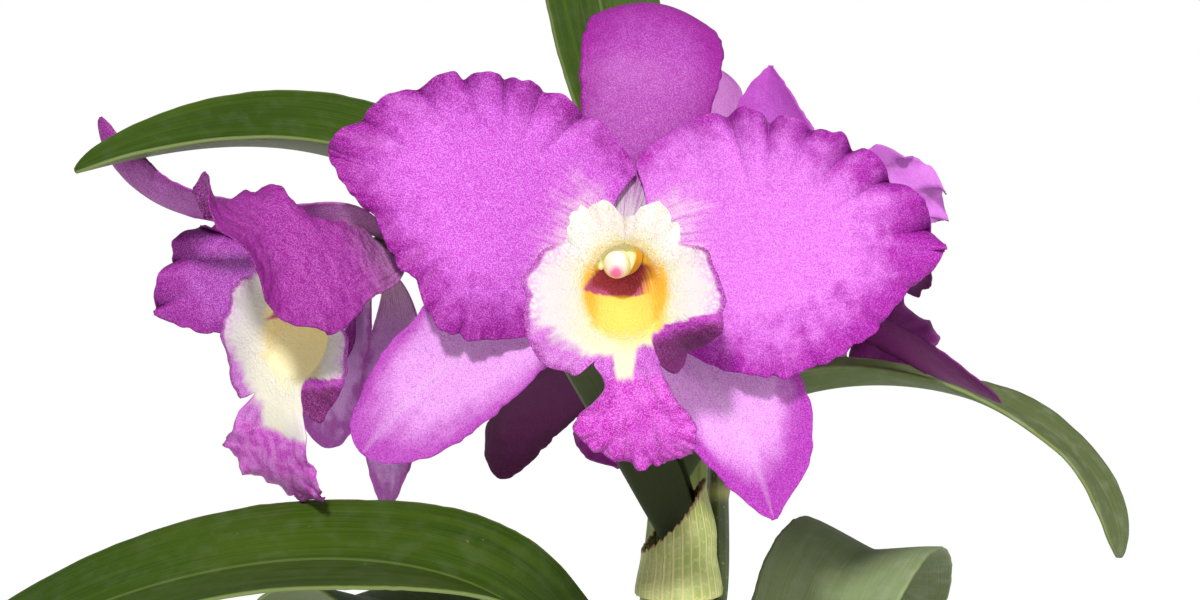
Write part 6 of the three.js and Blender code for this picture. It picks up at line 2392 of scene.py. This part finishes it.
@dataclass
class Rhizome:
    """The creeping rhizome that joins the shoots, and the roots that run out of it."""

    root_radius: float = 1.9
    voxel: float = 0.6
    chain: tuple[tuple[str, str], ...] = (
        ("front", "central"), ("left", "central"), ("central", "behind"), ("behind", "tall"), ("behind", "right"),
        ("tall", "rear")
    )
    roots: tuple[Run, ...] = (
        Run((4, -3), (-8, -54), 4), Run((18, -22), (42, -34), 3), Run((24, 20), (54, 8), 4), Run((7, 14), (34, 42), 4),
        Run((-20, 24), (-53, 12), 4), Run((2, 42), (-30, 46), 3), Run((-15, -16), (-48, -28), 5)
    )

    def build(self) -> None:
        """Joins the stems into one skin and marks where it is rhizome."""
        feet = {shoot.name: np.array([*shoot.foot, RHIZOME_HEIGHT]) for shoot in SHOOTS}
        forms = [self._stem(feet[a], feet[b]) for a, b in self.chain] + [self._root(run) for run in self.roots]
        faces, count = [], 0
        for form in forms:
            faces += [tuple(i + count for i in face) for face in form.faces]
            count += len(form.points)
        points = np.concatenate([form.points for form in forms])
        mesh = mesh_from("rhizome", Form(points, faces, np.zeros((count, 2)), {}))
        thing = new_object("rhizome", mesh, RootFinish().material("rhizome"))
        skin = thing.modifiers.new("skin", "REMESH")
        skin.mode = "VOXEL"
        skin.voxel_size = self.voxel * MM
        skin.use_smooth_shade = True
        soft = thing.modifiers.new("soft", "SMOOTH")
        soft.iterations = 3
        settle(thing)
        self._mark(thing.data, feet)
        dressed(thing, "root", "rhizome_and_roots")

    def _stem(self, start: Array, end: Array) -> Form:
        """One stretch of rhizome, a little longer than from foot to foot."""
        over = unit(end - start) * RHIZOME_RADIUS * 0.9
        line = Cubic((start - over, lerp(start, end, 0.33), lerp(start, end, 0.67), end + over))
        length = line.length()

        def radius(u: Array) -> Array:
            rings = np.exp(-((((u * length / 5.5) % 1 - 0.5) / 0.12) ** 2))
            return RHIZOME_RADIUS - 0.18 + 0.18 * rings

        return stem_form(line, radius, 50, 28, (3.0, 3.0))

    def _root(self, run: Run) -> Form:
        """One root."""
        out = np.array([run.end[0] - run.start[0], run.end[1] - run.start[1], 0.0])
        side = np.cross(out, UP) * 0.12
        z = RHIZOME_HEIGHT
        start = np.array([*run.start, z - 1])
        middle = start + 0.35 * out + side + UP * 2
        beyond = start + 0.7 * out - side
        curve = Cubic((start, middle, beyond, np.array([*run.end, z - run.dip])))
        return stem_form(curve, lambda u: self.root_radius * (1 - 0.35 * u**4) - 0.05, 60, 20, (1.0, 2.0))

    def _mark(self, mesh: Mesh, feet: dict[str, Array]) -> None:
        """Stores how near each point is to the rhizome."""
        flat = np.zeros(len(mesh.vertices) * 3)
        mesh.vertices.foreach_get("co", flat)
        points = flat.reshape(-1, 3) / MM
        nearest = np.full(len(points), 1e9)
        for a, b in self.chain:
            way = feet[b] - feet[a]
            t = np.clip((points - feet[a]) @ way / float(way @ way), 0, 1)
            nearest = np.minimum(nearest, np.linalg.norm(points - feet[a] - t[:, None] * way, axis=1))
        woody = 1 - smoothstep(nearest, RHIZOME_RADIUS, RHIZOME_RADIUS + 3)
        mesh.attributes.new("woody", "FLOAT", "POINT").data.foreach_set("value", woody.astype(np.float32))


# The whole


def main() -> None:
    """Builds the plant from the pot up, and then the stage."""
    logging.basicConfig(level=logging.INFO, format="%(message)s")
    pot = Pot()
    pot.build()
    BarkMix(pot).build()
    Rhizome().build()
    for shoot in SHOOTS:
        shoot.build()
    Sheath().build()
    Stalk().build()
    for bloom in BLOOMS:
        bloom.build()
    Stage().build()


if __name__ == "__main__":
    main()
